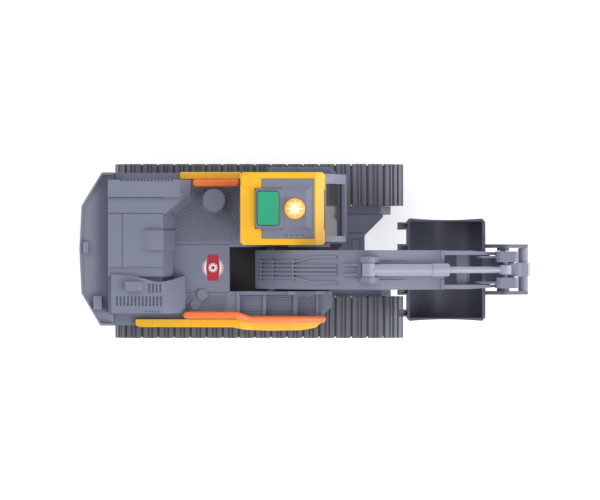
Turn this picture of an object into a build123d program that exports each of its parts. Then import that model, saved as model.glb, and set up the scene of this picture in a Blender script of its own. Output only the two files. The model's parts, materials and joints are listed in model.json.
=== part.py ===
from build123d import *
import math
import os

os.makedirs("parts", exist_ok=True)

# ---------------------------------------------------------------------------
# Toy tracked excavator, about 1:40, friction-free wheels hidden under the tracks.
# Frame: +X towards the bucket, +Y towards the cab side, +Z up, floor at z = 0.
# All values in millimetres.
# ---------------------------------------------------------------------------

# slewing ring
SLEW_X = -27.0          # axis of the upper structure
RING_TOP = 38.2         # top of the moulded ring on the undercarriage
FLOOR_Z0, FLOOR_Z1 = 38.7, 41.2   # house floor plate

# tracks
TRK_XA, TRK_XB = -94.4, 40.6      # centres of the two wraps
TRK_Z = 16.6
TRK_R = 16.0            # outside of the grousers
TRK_IN, TRK_OUT = 26.2, 50.2      # width band of the shoes
SHOE_COUNT = 39

# hidden free wheels
WHEEL_R, WHEEL_W, WHEEL_Y = 8.0, 6.0, 14.0
AXLE_R, AXLE_BORE = 1.25, 1.32
AXLE_FRONT_X, AXLE_REAR_X = 22.0, -76.0

# upper structure
DECK_Z = 61.0
SHELL_Z0 = 41.3
WALL = 2.0
HOOD_Z = 78.0
ROOF_Z0, ROOF_Z1 = 96.0, 102.0

# boom line
YB = -10.5              # centre plane of boom, stick and bucket
BOOM_HALF = 11.0
F = (-20.0, 55.0)       # boom foot pivot (x, z)
P = (100.5, 110.0)      # stick pivot
T = (34.8, 140.0)       # stick cylinder foot
E = (111.5, 118.5)      # stick cylinder rod eye
K = (112.6, 62.0)       # bucket pivot
L = (124.3, 55.3)       # bucket link bar
Q = (115.5, 110.0)      # bucket cylinder head
G = (3.0, 47.8)         # boom cylinder foot
H = (27.0, 101.5)       # boom cylinder head
RUN = 0.08              # radial running clearance of pins

# roof button
BTN = (-27.2, -15.3, 14.6, 33.5)  # x0, x1, y0, y1
BTN_TRAVEL = 1.2


# ---------------------------------------------------------------------------
# profile helpers: each adds to (or cuts from) the part that is being built
# ---------------------------------------------------------------------------
def side(y):
    """Plane facing -Y: sketch x is X, sketch y is Z."""
    return Plane(origin=(0, y, 0), x_dir=(1, 0, 0), z_dir=(0, -1, 0))


def front(x):
    """Plane facing +X: sketch x is Y, sketch y is Z."""
    return Plane(origin=(x, 0, 0), x_dir=(0, 1, 0), z_dir=(1, 0, 0))


def poly(plane, pts, depth, r=0.0, mode=Mode.ADD):
    with BuildSketch(plane) as sk:
        with BuildLine():
            Polyline(*pts, close=True)
        make_face()
        if r:
            fillet(sk.vertices(), r)
    return extrude(sk.sketch, amount=depth, mode=mode)


def plan(pts, z0, z1, r=0.0, mode=Mode.ADD):
    return poly(Plane.XY.offset(z0), pts, z1 - z0, r, mode)


def elev(pts, y_hi, y_lo, r=0.0, mode=Mode.ADD):
    return poly(side(y_hi), pts, y_hi - y_lo, r, mode)


def cross(pts, x0, x1, r=0.0, mode=Mode.ADD):
    return poly(front(x0), pts, x1 - x0, r, mode)


def rect(x0, x1, y0, y1):
    return [(x0, y0), (x1, y0), (x1, y1), (x0, y1)]


def block(x0, x1, y0, y1, z0, z1, r=0.0, mode=Mode.ADD):
    return plan(rect(x0, x1, y0, y1), z0, z1, r, mode)


def disc(plane, spots, r, depth, mode=Mode.ADD):
    with BuildSketch(plane) as sk:
        with Locations(*spots):
            Circle(r)
    return extrude(sk.sketch, amount=depth, mode=mode)


def disc_y(spots, r, y_hi, y_lo, mode=Mode.ADD):
    return disc(side(y_hi), spots, r, y_hi - y_lo, mode)


def disc_z(spots, r, z0, z1, mode=Mode.ADD):
    return disc(Plane.XY.offset(z0), spots, r, z1 - z0, mode)


def hull_y(circles, y_hi, y_lo, mode=Mode.ADD):
    """Plate whose outline is the hull of circles given as (x, z, r)."""
    with BuildSketch(side(y_hi)) as sk:
        for x, z, r in circles:
            with Locations((x, z)):
                Circle(r)
        make_hull()
    return extrude(sk.sketch, amount=y_hi - y_lo, mode=mode)


def soften_top(r):
    """Round the top rim of the last block where the rim allows it."""
    top = faces(Select.LAST).filter_by(Axis.Z).sort_by(Axis.Z)[-1]
    for rr in (r, r * 0.6):
        try:
            fillet(top.edges(), rr)
            return
        except Exception:
            continue


def mirror_y(pts):
    return [(x, -y) for x, y in pts]


def save(bp, name):
    bp.part.label = name
    export_step(bp.part, "parts/" + name + ".step")


# ---------------------------------------------------------------------------
# undercarriage
# ---------------------------------------------------------------------------
FRAME_OUT = [(34, -9), (34, 9), (44.5, 19.5), (44.5, 21), (-98.5, 21), (-98.5, 19.5), (-88, 9),
             (-88, -9), (-98.5, -19.5), (-98.5, -21), (44.5, -21), (44.5, -19.5)]
SCREW_SPOTS = [(4, 14), (4, -14), (-58, 14), (-58, -14)]
WHEEL_SPOTS = [(AXLE_FRONT_X, WHEEL_Y), (AXLE_FRONT_X, -WHEEL_Y), (AXLE_REAR_X, WHEEL_Y), (AXLE_REAR_X, -WHEEL_Y)]

with BuildPart() as undercarriage_frame:
    plan(FRAME_OUT, 5.0, 30.0)
    with BuildSketch(Plane.XY.offset(5.0)) as inner:
        with BuildLine():
            Polyline(*FRAME_OUT, close=True)
        make_face()
        offset(amount=-2.2, kind=Kind.INTERSECTION)
    extrude(inner.sketch, amount=22.8, mode=Mode.SUBTRACT)
    # slewing ring and centre hub
    disc_z([(SLEW_X, 0)], 22.5, 30.0, RING_TOP)
    disc_z([(SLEW_X, 0)], 20.0, 30.0, RING_TOP, Mode.SUBTRACT)
    disc_z([(SLEW_X, 0)], 9.0, 28.0, 36.5)
    disc_z([(SLEW_X, 0)], 6.15, 20.0, RING_TOP, Mode.SUBTRACT)
    for a in range(0, 360, 60):
        c, s = math.cos(math.radians(a)), math.sin(math.radians(a))
        plan([(SLEW_X + 8.5 * c - 0.8 * s, 8.5 * s + 0.8 * c), (SLEW_X + 8.5 * c + 0.8 * s, 8.5 * s - 0.8 * c),
              (SLEW_X + 20.5 * c + 0.8 * s, 20.5 * s - 0.8 * c), (SLEW_X + 20.5 * c - 0.8 * s, 20.5 * s + 0.8 * c)],
             30.0, 35.5)
    # closed screw bosses under the deck
    disc_z(SCREW_SPOTS, 2.8, 5.0, 28.0)
    disc_z(SCREW_SPOTS, 1.02, 5.0, 16.0, Mode.SUBTRACT)
    # inner rib grid
    for rx in (-46.0, -10.0):
        block(rx - 0.8, rx + 0.8, -19, 19, 12.0, 28.2)
    # axle seats in the side walls
    for ax in (AXLE_FRONT_X, AXLE_REAR_X):
        disc_y([(ax, WHEEL_R)], 3.0, 21.0, 18.3)
        disc_y([(ax, WHEEL_R)], 3.0, -18.3, -21.0)
        disc_y([(ax, WHEEL_R)], AXLE_BORE, 25.0, -25.0, Mode.SUBTRACT)
    # panel lines and recesses on the front and rear deck
    for sx in (1, -1):
        def fx(v):
            return SLEW_X + sx * (v - SLEW_X)
        for x0, x1, y0, y1 in ((14, 24.5, -7.5, 7.5), (26, 31.5, -7.5, 7.5)):
            xa, xb = sorted((fx(x0), fx(x1)))
            block(xa, xb, y0, y1, 29.5, 30.5, 0.6, Mode.SUBTRACT)
            block(xa + 0.7, xb - 0.7, y0 + 0.7, y1 - 0.7, 29.4, 30.0)
        for yy in (1, -1):
            xa, xb = sorted((fx(16), fx(32)))
            block(xa, xb, yy * 10.4 - 0.35, yy * 10.4 + 0.35, 29.5, 30.5, 0, Mode.SUBTRACT)
            disc_z([(fx(20), yy * 15.0)], 2.4, 29.5, 30.5, Mode.SUBTRACT)
            disc_z([(fx(20), yy * 15.0)], 1.6, 29.4, 30.2)
save(undercarriage_frame, "undercarriage_frame")

with BuildPart() as base_plate:
    plan(FRAME_OUT, 3.0, 4.95)
    block(-54.0, 0.0, -9.0, 9.0, 2.4, 3.0, 2.0)
    for wx, wy in WHEEL_SPOTS:
        block(wx - 10.0, wx + 10.0, wy - 3.9, wy + 3.9, 2.0, 6.0, 1.0, Mode.SUBTRACT)
    disc_z(SCREW_SPOTS, 1.15, 2.0, 6.0, Mode.SUBTRACT)
    disc_z(SCREW_SPOTS, 2.3, 2.0, 4.0, Mode.SUBTRACT)
    for gx in (-90, -66, 12, 36):
        block(gx - 0.4, gx + 0.4, -7, 7, 2.8, 3.4, 0, Mode.SUBTRACT)
save(base_plate, "undercarriage_base_plate")


def screw_solids(spots, head_z, up):
    """Pan-head self-tapping screws, heads down at head_z, shank `up` long."""
    disc_z(spots, 2.1, head_z, head_z + 0.9)
    disc_z(spots, 1.0, head_z + 0.9, head_z + 0.9 + up)
    for x, y in spots:
        block(x - 1.3, x + 1.3, y - 0.25, y + 0.25, head_z - 0.1, head_z + 0.5, 0, Mode.SUBTRACT)
        block(x - 0.25, x + 0.25, y - 1.3, y + 1.3, head_z - 0.1, head_z + 0.5, 0, Mode.SUBTRACT)


with BuildPart() as undercarriage_screws:
    screw_solids(SCREW_SPOTS, 3.05, 10.0)
save(undercarriage_screws, "undercarriage_screws")

for tag, ax in (("front", AXLE_FRONT_X), ("rear", AXLE_REAR_X)):
    with BuildPart() as axle:
        disc_y([(ax, WHEEL_R)], AXLE_R, 20.6, -20.6)
        chamfer(edges().filter_by(GeomType.CIRCLE), 0.3)
    save(axle, tag + "_axle")
    with BuildPart() as rollers:
        for s in (1, -1):
            disc_y([(ax, WHEEL_R)], WHEEL_R, s * WHEEL_Y + WHEEL_W / 2, s * WHEEL_Y - WHEEL_W / 2)
        fillet(edges().filter_by(GeomType.CIRCLE), 0.6)
        for s in (1, -1):
            for d in (1, -1):
                ya, yb = s * WHEEL_Y + d * 1.6, s * WHEEL_Y + d * 3.2
                y_hi, y_lo = max(ya, yb), min(ya, yb)
                disc_y([(ax, WHEEL_R)], 6.2, y_hi, y_lo, Mode.SUBTRACT)
                disc_y([(ax, WHEEL_R)], 2.6, min(y_hi, s * WHEEL_Y + WHEEL_W / 2), max(y_lo, s * WHEEL_Y - WHEEL_W / 2))
        disc_y([(ax, WHEEL_R)], AXLE_R + 0.005, 20.0, -20.0, Mode.SUBTRACT)
    save(rollers, tag + "_rollers")

# --- moulded tracks --------------------------------------------------------
STRAIGHT = TRK_XB - TRK_XA
PITCH_R = 14.6
PERIM = 2 * STRAIGHT + 2 * math.pi * PITCH_R
PITCH = PERIM / SHOE_COUNT


def on_track(s, h):
    """Point at arc length s round the belt and radius h from the wrap centres."""
    s = s % PERIM
    if s < STRAIGHT:
        return (TRK_XA + s, TRK_Z + h)
    s -= STRAIGHT
    arc = math.pi * PITCH_R
    if s < arc:
        a = math.pi / 2 - s / PITCH_R
        return (TRK_XB + h * math.cos(a), TRK_Z + h * math.sin(a))
    s -= arc
    if s < STRAIGHT:
        return (TRK_XB - s, TRK_Z - h)
    s -= STRAIGHT
    a = -math.pi / 2 - s / PITCH_R
    return (TRK_XA + h * math.cos(a), TRK_Z + h * math.sin(a))


def shoe_profile(i):
    c = (i + 0.5) * PITCH
    half = PITCH / 2 - 0.42
    prof = [(-half, 13.4), (-half, 14.75), (-3.95, 14.75), (-3.75, 16.0), (-1.75, 16.0), (-1.45, 14.75),
            (-0.55, 14.75), (-0.4, 15.6), (0.4, 15.6), (0.55, 14.75),
            (1.45, 14.75), (1.75, 16.0), (3.75, 16.0), (3.95, 14.75), (half, 14.75), (half, 13.4)]
    return [on_track(c + u, h) for u, h in prof]


def stadium(r, y_hi, y_lo, mode=Mode.ADD):
    return hull_y([(TRK_XA, TRK_Z, r), (TRK_XB, TRK_Z, r)], y_hi, y_lo, mode)


def band(s, a, b):
    """Y span a..b on the left side, mirrored for the right side; returned as (y_hi, y_lo)."""
    return (b, a) if s > 0 else (-a, -b)


LOWER_ROLLERS = [(-74.0 + 18.8 * k, 7.9) for k in range(6)]
UPPER_ROLLERS = [(-50.0, 25.0), (-4.0, 25.0)]

for tag, s in (("left", 1), ("right", -1)):
    with BuildPart() as track:
        y_hi, y_lo = band(s, 27.0, 49.3)
        stadium(14.0, y_hi, y_lo)
        stadium(12.7, y_hi, y_lo, Mode.SUBTRACT)
        y_hi, y_lo = band(s, TRK_IN, TRK_OUT)
        with BuildSketch(side(y_hi)) as shoes:
            for i in range(SHOE_COUNT):
                with BuildLine():
                    Polyline(*shoe_profile(i), close=True)
                make_face()
        extrude(shoes.sketch, amount=y_hi - y_lo)
    save(track, tag + "_track")

    with BuildPart() as tframe:
        stadium(12.4, *band(s, 39.0, 42.0))
        # spacers towards the centre frame
        for cx in (TRK_XA, SLEW_X, TRK_XB):
            disc_y([(cx, TRK_Z)], 7.0, *band(s, 26.1, 39.2))
        # side beam with a sunken panel
        elev([(-78, 12.0), (24, 12.0), (28, 15.5), (24, 21.4), (-78, 21.4), (-82, 16)], *band(s, 41.5, 47.6), r=1.2)
        elev([(-72, 14.0), (18, 14.0), (18, 19.4), (-72, 19.4)], *band(s, 46.8, 48.0), r=1.0, mode=Mode.SUBTRACT)
        # idler at the front, drive sprocket at the rear
        for cx in (TRK_XA, TRK_XB):
            disc_y([(cx, TRK_Z)], 11.4, *band(s, 41.5, 47.4))
            disc_y([(cx, TRK_Z)], 9.6, *band(s, 46.2, 48.0), mode=Mode.SUBTRACT)
            disc_y([(cx, TRK_Z)], 4.6, *band(s, 45.0, 48.6))
            disc_y([(cx, TRK_Z)], 2.4, *band(s, 48.0, 49.0), mode=Mode.SUBTRACT)
            spots = [(cx + 7.1 * math.cos(math.radians(a)), TRK_Z + 7.1 * math.sin(math.radians(a)))
                     for a in range(0, 360, 45)]
            disc_y(spots, 1.1, *band(s, 45.6, 48.0), mode=Mode.SUBTRACT)
        # bottom and top rollers
        disc_y(LOWER_ROLLERS, 3.7, *band(s, 41.5, 47.2))
        disc_y(LOWER_ROLLERS, 1.7, *band(s, 47.0, 48.2))
        disc_y(UPPER_ROLLERS, 3.4, *band(s, 41.5, 47.2))
        disc_y(UPPER_ROLLERS, 1.6, *band(s, 47.0, 48.2))
    save(tframe, tag + "_track_frame")

    with BuildPart() as icover:
        elev([(-105, 3.2), (44, 3.2), (49.2, 8.5), (49.2, 22.5), (43.5, 28.6), (-100, 28.6), (-108.5, 22), (-108.5, 7)],
             *band(s, 21.05, 25.9), r=2.0)
        elev([(-104, 5.0), (43, 5.0), (47.2, 9.2), (47.2, 21.8), (42.6, 26.8), (-99.4, 26.8), (-106.4, 21.2), (-106.4, 8)],
             *band(s, 22.7, 27.0), r=1.0, mode=Mode.SUBTRACT)
        for cx in (TRK_XA, SLEW_X, TRK_XB):
            disc_y([(cx, TRK_Z)], 5.0, *band(s, 22.5, 25.9))
        disc_y([(AXLE_FRONT_X, WHEEL_R), (AXLE_REAR_X, WHEEL_R)], 1.6, *band(s, 20.0, 21.7), mode=Mode.SUBTRACT)
    save(icover, tag + "_track_inner_cover")

# ---------------------------------------------------------------------------
# upper structure: floor, shell, counterweight
# ---------------------------------------------------------------------------
FLOOR_OUT = [(-109.5, 43.0), (-115.2, 43.0), (-125.6, 25.4), (-126.8, 1.0), (-125.6, -23.8), (-116.0, -40.6),
             (-109.5, -40.6), (6.0, -38.4), (13.0, -31.0), (13.0, -22.6), (18.5, -20.5), (18.5, 0.5),
             (22.0, 5.0), (22.0, 43.0)]
HOUSE_SCREWS = [(-100.0, 30.0), (-78.5, -28.0), (-62.0, 33.0), (-62.0, -30.0), (-117.5, 18.0), (-117.5, -17.0), (2.0, 36.0)]
BATT = (-97.0, -75.0, -7.4, 7.4)
SPK = (-58.5, 0.0)

with BuildPart() as house_floor:
    plan(FLOOR_OUT, FLOOR_Z0, FLOOR_Z1, 1.5)
    # thrust rib and centre spigot of the slewing joint
    disc_z([(SLEW_X, 0)], 5.95, 26.6, FLOOR_Z0 + 0.5)
    disc_z([(SLEW_X, 0)], 1.02, 26.0, 38.0, Mode.SUBTRACT)
    # battery box
    bx0, bx1, by0, by1 = BATT
    block(bx0 - 1.4, bx1 + 1.4, by0 - 1.4, by1 + 1.4, FLOOR_Z1 - 0.2, 54.6, 1.0)
    block(bx0, bx1, by0, by1, FLOOR_Z0 - 1, 53.4, 0, Mode.SUBTRACT)
    # speaker cup and sound holes
    disc_z([SPK], 11.8, FLOOR_Z1 - 0.2, 44.2)
    disc_z([SPK], 10.8, FLOOR_Z1, 45.0, Mode.SUBTRACT)
    holes = [SPK] + [(SPK[0] + 4.2 * math.cos(math.radians(a)), 4.2 * math.sin(math.radians(a))) for a in range(0, 360, 60)]
    disc_z(holes, 0.8, 38.0, 43.0, Mode.SUBTRACT)
    # screw seats
    disc_z(HOUSE_SCREWS, 1.15, 38.0, 42.0, Mode.SUBTRACT)
    disc_z(HOUSE_SCREWS, 2.3, 38.0, FLOOR_Z0 + 1.0, Mode.SUBTRACT)
    # lugs of the boom cylinder foot
    for a, b in ((YB + 7.6, YB + 5.2), (YB - 5.2, YB - 7.6)):
        elev([(G[0] - 5.5, FLOOR_Z1 - 0.2), (G[0] + 5.5, FLOOR_Z1 - 0.2), (G[0] + 3.2, G[1] + 3.0), (G[0] - 3.2, G[1] + 3.0)],
             a, b, r=0.8)
    disc_y([G], 1.5, YB + 9, YB - 9, Mode.SUBTRACT)
save(house_floor, "house_floor")

STEPS = [(-39.6, -37.7, 61.8), (-37.7, -24.6, 57.0), (-24.6, -22.8, 58.0), (-22.8, -7.3, 53.0),
         (-7.3, -5.0, 54.0), (-5.0, 5.9, 49.0), (5.9, 7.0, 50.0), (7.0, 15.2, 45.6)]

with BuildPart() as diagonal:
    # sloping face along the cut-off corner of the second band
    with BuildSketch(Plane(origin=(-65.88, 33.3, 60.0), x_dir=(0.6544, -0.7562, 0), z_dir=(-0.7562, -0.6544, 0))):
        with BuildLine():
            Polyline((-1.6, 0), (-1.6, 17.4), (0.0, 17.4), (2.5, 7.0), (2.6, 0), close=True)
        make_face()
    extrude(amount=26.0)
    block(-90.0, -60.0, 20.8, 30.7, 60.0, 80.0, 0, Mode.INTERSECT)

with BuildPart() as house_shell:
    # main deck behind the boom well and beside it
    plan([(-109.4, -38.7), (-109.4, 40.7), (-36.6, 40.7), (-36.6, 4.3), (-43.4, 4.3), (-43.4, -25.0), (-39.5, -25.0),
          (-39.5, -36.9), (-39.5, -38.7)], SHELL_Z0, DECK_Z)
    soften_top(0.5)
    # full-width rear corners, flush with the counterweight
    block(-109.4, -97.4, -42.4, -38.0, SHELL_Z0, DECK_Z)
    block(-109.4, -72.0, 40.0, 44.7, SHELL_Z0, DECK_Z)
    # rear wall that reaches into the counterweight
    block(-112.3, -109.0, -35.5, 40.5, SHELL_Z0, DECK_Z)
    # sill under the cab and the ribbed step outside it
    block(-36.6, 22.8, 4.3, 44.2, SHELL_Z0, 45.9)
    plan([(-21.0, 44.0), (-21.0, 48.4), (14.0, 48.4), (17.3, 45.4), (17.3, 44.0)], SHELL_Z0, 45.9)
    # walls of the boom well
    elev([(-44, SHELL_Z0), (14, SHELL_Z0), (14, 45.9), (-4, 52), (-10, 60.9), (-44, 60.9)], 4.3, 2.3)
    # access steps on the right
    for x0, x1, zt in STEPS:
        if x1 > 15:
            plan([(x0 - 0.05, -36.9), (x0 - 0.05, -23.0), (x1, -23.0), (x1, -31.5), (x1 - 5.2, -36.9)], SHELL_Z0, zt)
        else:
            block(x0 - 0.05, x1, -36.9, -23.0, SHELL_Z0, zt)
    elev([(-44, SHELL_Z0), (9.5, SHELL_Z0), (9.5, 47.6), (-4.5, 51.6), (-6, 55.5), (-22, 57), (-23.5, 60.0), (-36, 60.6), (-38, 62.4),
          (-44, 62.4)], -36.9, -38.7)
    elev([(-44, SHELL_Z0), (11, SHELL_Z0), (11, 46.5), (6, 50.8), (-4.5, 51.2), (-6, 55.4), (-10, 60.9), (-44, 60.9)], -23.0, -25.0)

    # bonnet: raised box on the left with sloping front
    elev([(-112.3, 60), (-112.3, 79.0), (-111.3, 80.0), (-71.3, 80.0), (-65.3, 70.5), (-65.0, 60)], 40.5, 30.5)
    # next band, front corner cut on the diagonal
    plan([(-112.3, 21.0), (-112.3, 30.6), (-69.0, 30.6), (-79.4, 21.6), (-79.4, 21.0)], 60.0, 77.4)
    add(diagonal.part)
    # centre field with sloping front
    elev([(-112.3, 60), (-112.3, 77.2), (-111.5, HOOD_Z), (-81.0, HOOD_Z), (-75.6, 67.0), (-75.2, 60)], 21.1, -9.0)
    elev([(-112.3, 60), (-112.3, 76.0), (-111.5, 76.8), (-81.0, 76.8), (-75.6, 66.4), (-75.2, 60)], -8.9, -14.5)
    # intake scoop
    elev([(-95.2, 77), (-88.2, 80.6), (-80.8, 80.2), (-74.3, 67.4), (-74.1, 60), (-80, 60)], 11.8, 0.6)
    # lower shelf behind and beside the right rear box
    block(-112.3, -110.0, -35.4, -9.0, 60.0, 73.5)
    elev([(-112.3, 60), (-112.3, 73.5), (-82.0, 73.5), (-76.4, 65.0), (-76.0, 60)], -14.4, -19.0)
    # right rear box with wavy inner edge and sloping front
    with BuildSketch(Plane.XY.offset(60.0)) as box_top:
        with BuildLine():
            Spline((-110.4, -13.4), (-101, -13.8), (-92, -15.4), (-84.5, -17.4), (-77.5, -16.6), (-68.7, -13.9))
            Polyline((-68.7, -13.9), (-68.7, -35.4), (-110.4, -35.4), (-110.4, -13.4))
        make_face()
    extrude(box_top.sketch, amount=20.0)
    elev([(-81.0, 80.5), (-68.7, 66.5), (-60, 66.5), (-60, 90), (-81, 90)], -10, -40, mode=Mode.SUBTRACT)

    # hollow inside
    block(-107.4, -45.4, -36.6, 38.7, SHELL_Z0 - 0.1, DECK_Z - 2.0, 0, Mode.SUBTRACT)
    block(-107.4, -99.0, -40.4, -36.0, SHELL_Z0 - 0.1, DECK_Z - 2.0, 0, Mode.SUBTRACT)
    block(-107.4, -74.0, 38.0, 42.7, SHELL_Z0 - 0.1, DECK_Z - 2.0, 0, Mode.SUBTRACT)
    block(-46.0, -38.6, 6.3, 38.7, SHELL_Z0 - 0.1, DECK_Z - 2.0, 0, Mode.SUBTRACT)
    block(-46.0, -41.0, -35.0, -27.0, SHELL_Z0 - 0.1, DECK_Z - 2.0, 0, Mode.SUBTRACT)
    block(-109.9, -82.8, -7.0, 19.0, 58.9, HOOD_Z - 2.2, 0, Mode.SUBTRACT)
    block(-109.9, -82.0, 23.0, 28.5, 58.9, 75.3, 0, Mode.SUBTRACT)
    block(-109.9, -73.0, 32.5, 38.5, 58.9, 77.9, 0, Mode.SUBTRACT)
    block(-108.3, -82.4, -33.4, -19.6, 58.9, 77.8, 0, Mode.SUBTRACT)
    for x0, x1, zt in STEPS[1::2]:
        block(x0 + 1.2, x1 - 1.2 if x1 < 15 else x1 - 6.4, -35.0, -26.8, SHELL_Z0 - 0.1, zt - 2.0, 0, Mode.SUBTRACT)
    block(-34.6, 20.8, 6.3, 42.2, SHELL_Z0 - 0.1, 43.9, 0, Mode.SUBTRACT)

    # bonnet joints
    block(-104.4, -104.0, -8.6, 20.8, HOOD_Z - 0.4, HOOD_Z + 1, 0, Mode.SUBTRACT)
    for gy in (30.5, 21.05):
        block(-112.4, -80.5, gy - 0.22, gy + 0.22, 76.6, 77.6, 0, Mode.SUBTRACT)
    # notches along the top left edge
    for k in range(16):
        block(-105.2 + 1.92 * k, -104.3 + 1.92 * k, 39.6, 40.9, 77.0, 81.0, 0, Mode.SUBTRACT)
    # louvres in the right rear box
    for k in range(13):
        block(-107.6 + 2.08 * k, -106.6 + 2.08 * k, -31.0, -25.8, 79.1, 81.0, 0, Mode.SUBTRACT)
    for k in range(4):
        block(-89.3 + 2.08 * k, -88.3 + 2.08 * k, -23.4, -18.6, 79.1, 81.0, 0, Mode.SUBTRACT)
    disc_z([(-90.6 + 1.75 * k, -34.3) for k in range(5)], 0.4, 79.5, 81.0, Mode.SUBTRACT)
    # exhaust box
    elev([(-102.4, 79.8), (-102.4, 84.6), (-95.8, 84.6), (-95.0, 83.2), (-92.2, 80.4), (-92.2, 79.8)], -17.3, -22.7, r=0.3)

    # deck details: sunken seams round the smooth panel
    block(-74.8, -43.6, 3.6, 4.1, DECK_Z - 0.4, DECK_Z + 1, 0, Mode.SUBTRACT)
    block(-68.4, -43.6, -23.9, -23.4, DECK_Z - 0.4, DECK_Z + 1, 0, Mode.SUBTRACT)
    # air pre-cleaner
    disc_z([(-52.1, 28.8)], 6.9, DECK_Z - 0.5, 69.6)
    soften_top(1.4)
    disc_z([(-52.1, 28.8)], 7.5, DECK_Z - 0.5, 62.4)
    # filler caps
    disc_z([(-59.1, -24.8)], 3.1, DECK_Z - 0.5, 62.6)
    soften_top(0.4)
    disc_z([(-63.3, -30.8)], 3.0, DECK_Z - 0.5, 62.0)
    soften_top(0.4)
    # ribs on the steps
    for x0, x1, zt in (STEPS[1], STEPS[3], STEPS[7]):
        xe = x1 - 0.6 if x1 < 15 else x1 - 5.6
        for k in range(9):
            yy = -35.6 + 1.42 * k
            block(x0 + 0.8, xe, yy - 0.3, yy + 0.3, zt - 0.1, zt + 0.35)
    for k in range(21):
        xx = -18.6 + 1.6 * k
        block(xx - 0.35, xx + 0.35, 44.9, 47.4, 45.8, 46.3)
    # screw towers
    disc_z([p for p in HOUSE_SCREWS if -110 < p[0] < -50], 2.6, SHELL_Z0, DECK_Z - 1.8)
    disc_z([(2.0, 36.0)], 2.6, SHELL_Z0, 44.5)
    disc_z(HOUSE_SCREWS, 1.02, SHELL_Z0 - 0.1, 50.4, Mode.SUBTRACT)
    # boom pivot bores
    disc_y([F], 5.2, 4.9, 2.3)
    disc_y([F], 2.52, 10, -25.2, Mode.SUBTRACT)
save(house_shell, "house_shell")

CW_OUT = [(-109.55, 44.8), (-116.2, 44.8), (-127.7, 25.8), (-128.9, 1.0), (-127.7, -24.1), (-117.0, -42.45),
          (-109.55, -42.45), (-109.55, -35.7), (-112.45, -35.7), (-112.45, 40.7), (-109.55, 40.7)]

with BuildPart() as cw_pocket:
    plan([(-109.0, 43.4), (-115.7, 43.4), (-126.3, 25.4), (-127.5, 1.0), (-126.3, -23.7), (-116.5, -41.1), (-109.0, -41.1)], 60.0, 72.0)
    fillet(edges().filter_by(Axis.Z).sort_by(Axis.X)[:5], 2.0)
    with BuildSketch(side(46.0)) as dish:
        with BuildLine():
            Spline((-129.0, 69.2), (-122.0, 68.2), (-116.5, 66.6), (-108.0, 63.6))
            Polyline((-108.0, 63.6), (-108.0, 73.0), (-129.0, 73.0), (-129.0, 69.2))
        make_face()
    extrude(dish.sketch, amount=90.0, mode=Mode.INTERSECT)

with BuildPart() as counterweight:
    plan(CW_OUT, SHELL_Z0, 70.0)
    top = faces(Select.LAST).filter_by(Axis.Z).sort_by(Axis.Z)[-1]
    rear = top.edges().filter_by(lambda e: e.center().X < -113)
    try:
        fillet(rear, 0.8)
    except Exception:
        pass
    # sunken top inside a narrow rim, falling towards the bonnet
    add(cw_pocket.part, mode=Mode.SUBTRACT)
    # hollow
    plan([(-114.6, 42.4), (-115.2, 42.4), (-125.4, 25.3), (-126.6, 1.0), (-125.4, -23.5), (-115.9, -40.1), (-114.6, -40.1)],
         43.6, 63.6, 0, Mode.SUBTRACT)
    block(-115.0, -109.0, -30.0, 35.0, 48.0, 62.0, 0, Mode.SUBTRACT)
    # rear camera block and lifting wedge
    elev([(-126.9, 67.5), (-126.9, 71.4), (-123.8, 71.4), (-123.2, 70.6), (-123.2, 67.5)], 5.2, -1.2, r=0.3)
    elev([(-121.5, 65.0), (-120.6, 72.6), (-116.0, 71.6), (-115.4, 65.0)], -25.6, -33.2, r=0.3)
    # lower belt line
    for zc in (48.0, 58.0):
        block(-129.4, -128.6, -12, 14, zc - 0.35, zc + 0.35, 0, Mode.SUBTRACT)
    # screw towers
    disc_z([(-117.5, 18.0), (-117.5, -17.0)], 2.6, 43.4, 64.4)
    disc_z([(-117.5, 18.0), (-117.5, -17.0)], 1.02, SHELL_Z0 - 0.1, 50.4, Mode.SUBTRACT)
save(counterweight, "counterweight")

with BuildPart() as house_screws:
    screw_solids(HOUSE_SCREWS, FLOOR_Z0 + 0.05, 10.0)
save(house_screws, "house_screws")

with BuildPart() as slew_washer:
    disc_z([(SLEW_X, 0)], 9.4, 25.4, 26.55)
    disc_z([(SLEW_X, 0)], 1.15, 25.0, 27.0, Mode.SUBTRACT)
save(slew_washer, "slew_retainer_washer")

with BuildPart() as slew_screw:
    screw_solids([(SLEW_X, 0)], 24.45, 10.4)
save(slew_screw, "slew_retainer_screw")

# battery door, cells, contacts, loudspeaker
with BuildPart() as battery_cover:
    block(BATT[0] + 0.12, BATT[1] - 0.12, BATT[2] + 0.12, BATT[3] - 0.12, FLOOR_Z0 + 0.02, FLOOR_Z1 - 0.4, 0.6)
    for k in range(4):
        block(-88.0 + 1.6 * k, -87.2 + 1.6 * k, -4.0, 4.0, FLOOR_Z0 - 0.1, FLOOR_Z0 + 0.5, 0, Mode.SUBTRACT)
save(battery_cover, "battery_cover")

CELL_Z = 47.2
with BuildPart() as cells:
    for k in range(3):
        with BuildSketch(front(-94.4 + 5.55 * k)):
            with Locations((0, CELL_Z)):
                Circle(5.75)
        extrude(amount=5.0)
        with BuildSketch(front(-89.4 + 5.55 * k)):
            with Locations((0, CELL_Z)):
                Circle(4.9)
        extrude(amount=0.4)
save(cells, "button_cells")

with BuildPart() as contacts:
    block(-96.9, -96.5, -5.0, 5.0, 42.0, 52.6)
    with BuildSketch(front(-96.5)):
        with Locations((0, CELL_Z)):
            Circle(1.6)
    extrude(amount=1.9)
    block(-76.4, -76.0, -5.0, 5.0, 42.0, 52.6)
    with BuildSketch(front(-77.7)):
        with Locations((0, CELL_Z)):
            Circle(1.6)
    extrude(amount=1.35)
save(contacts, "battery_contacts")

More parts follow.
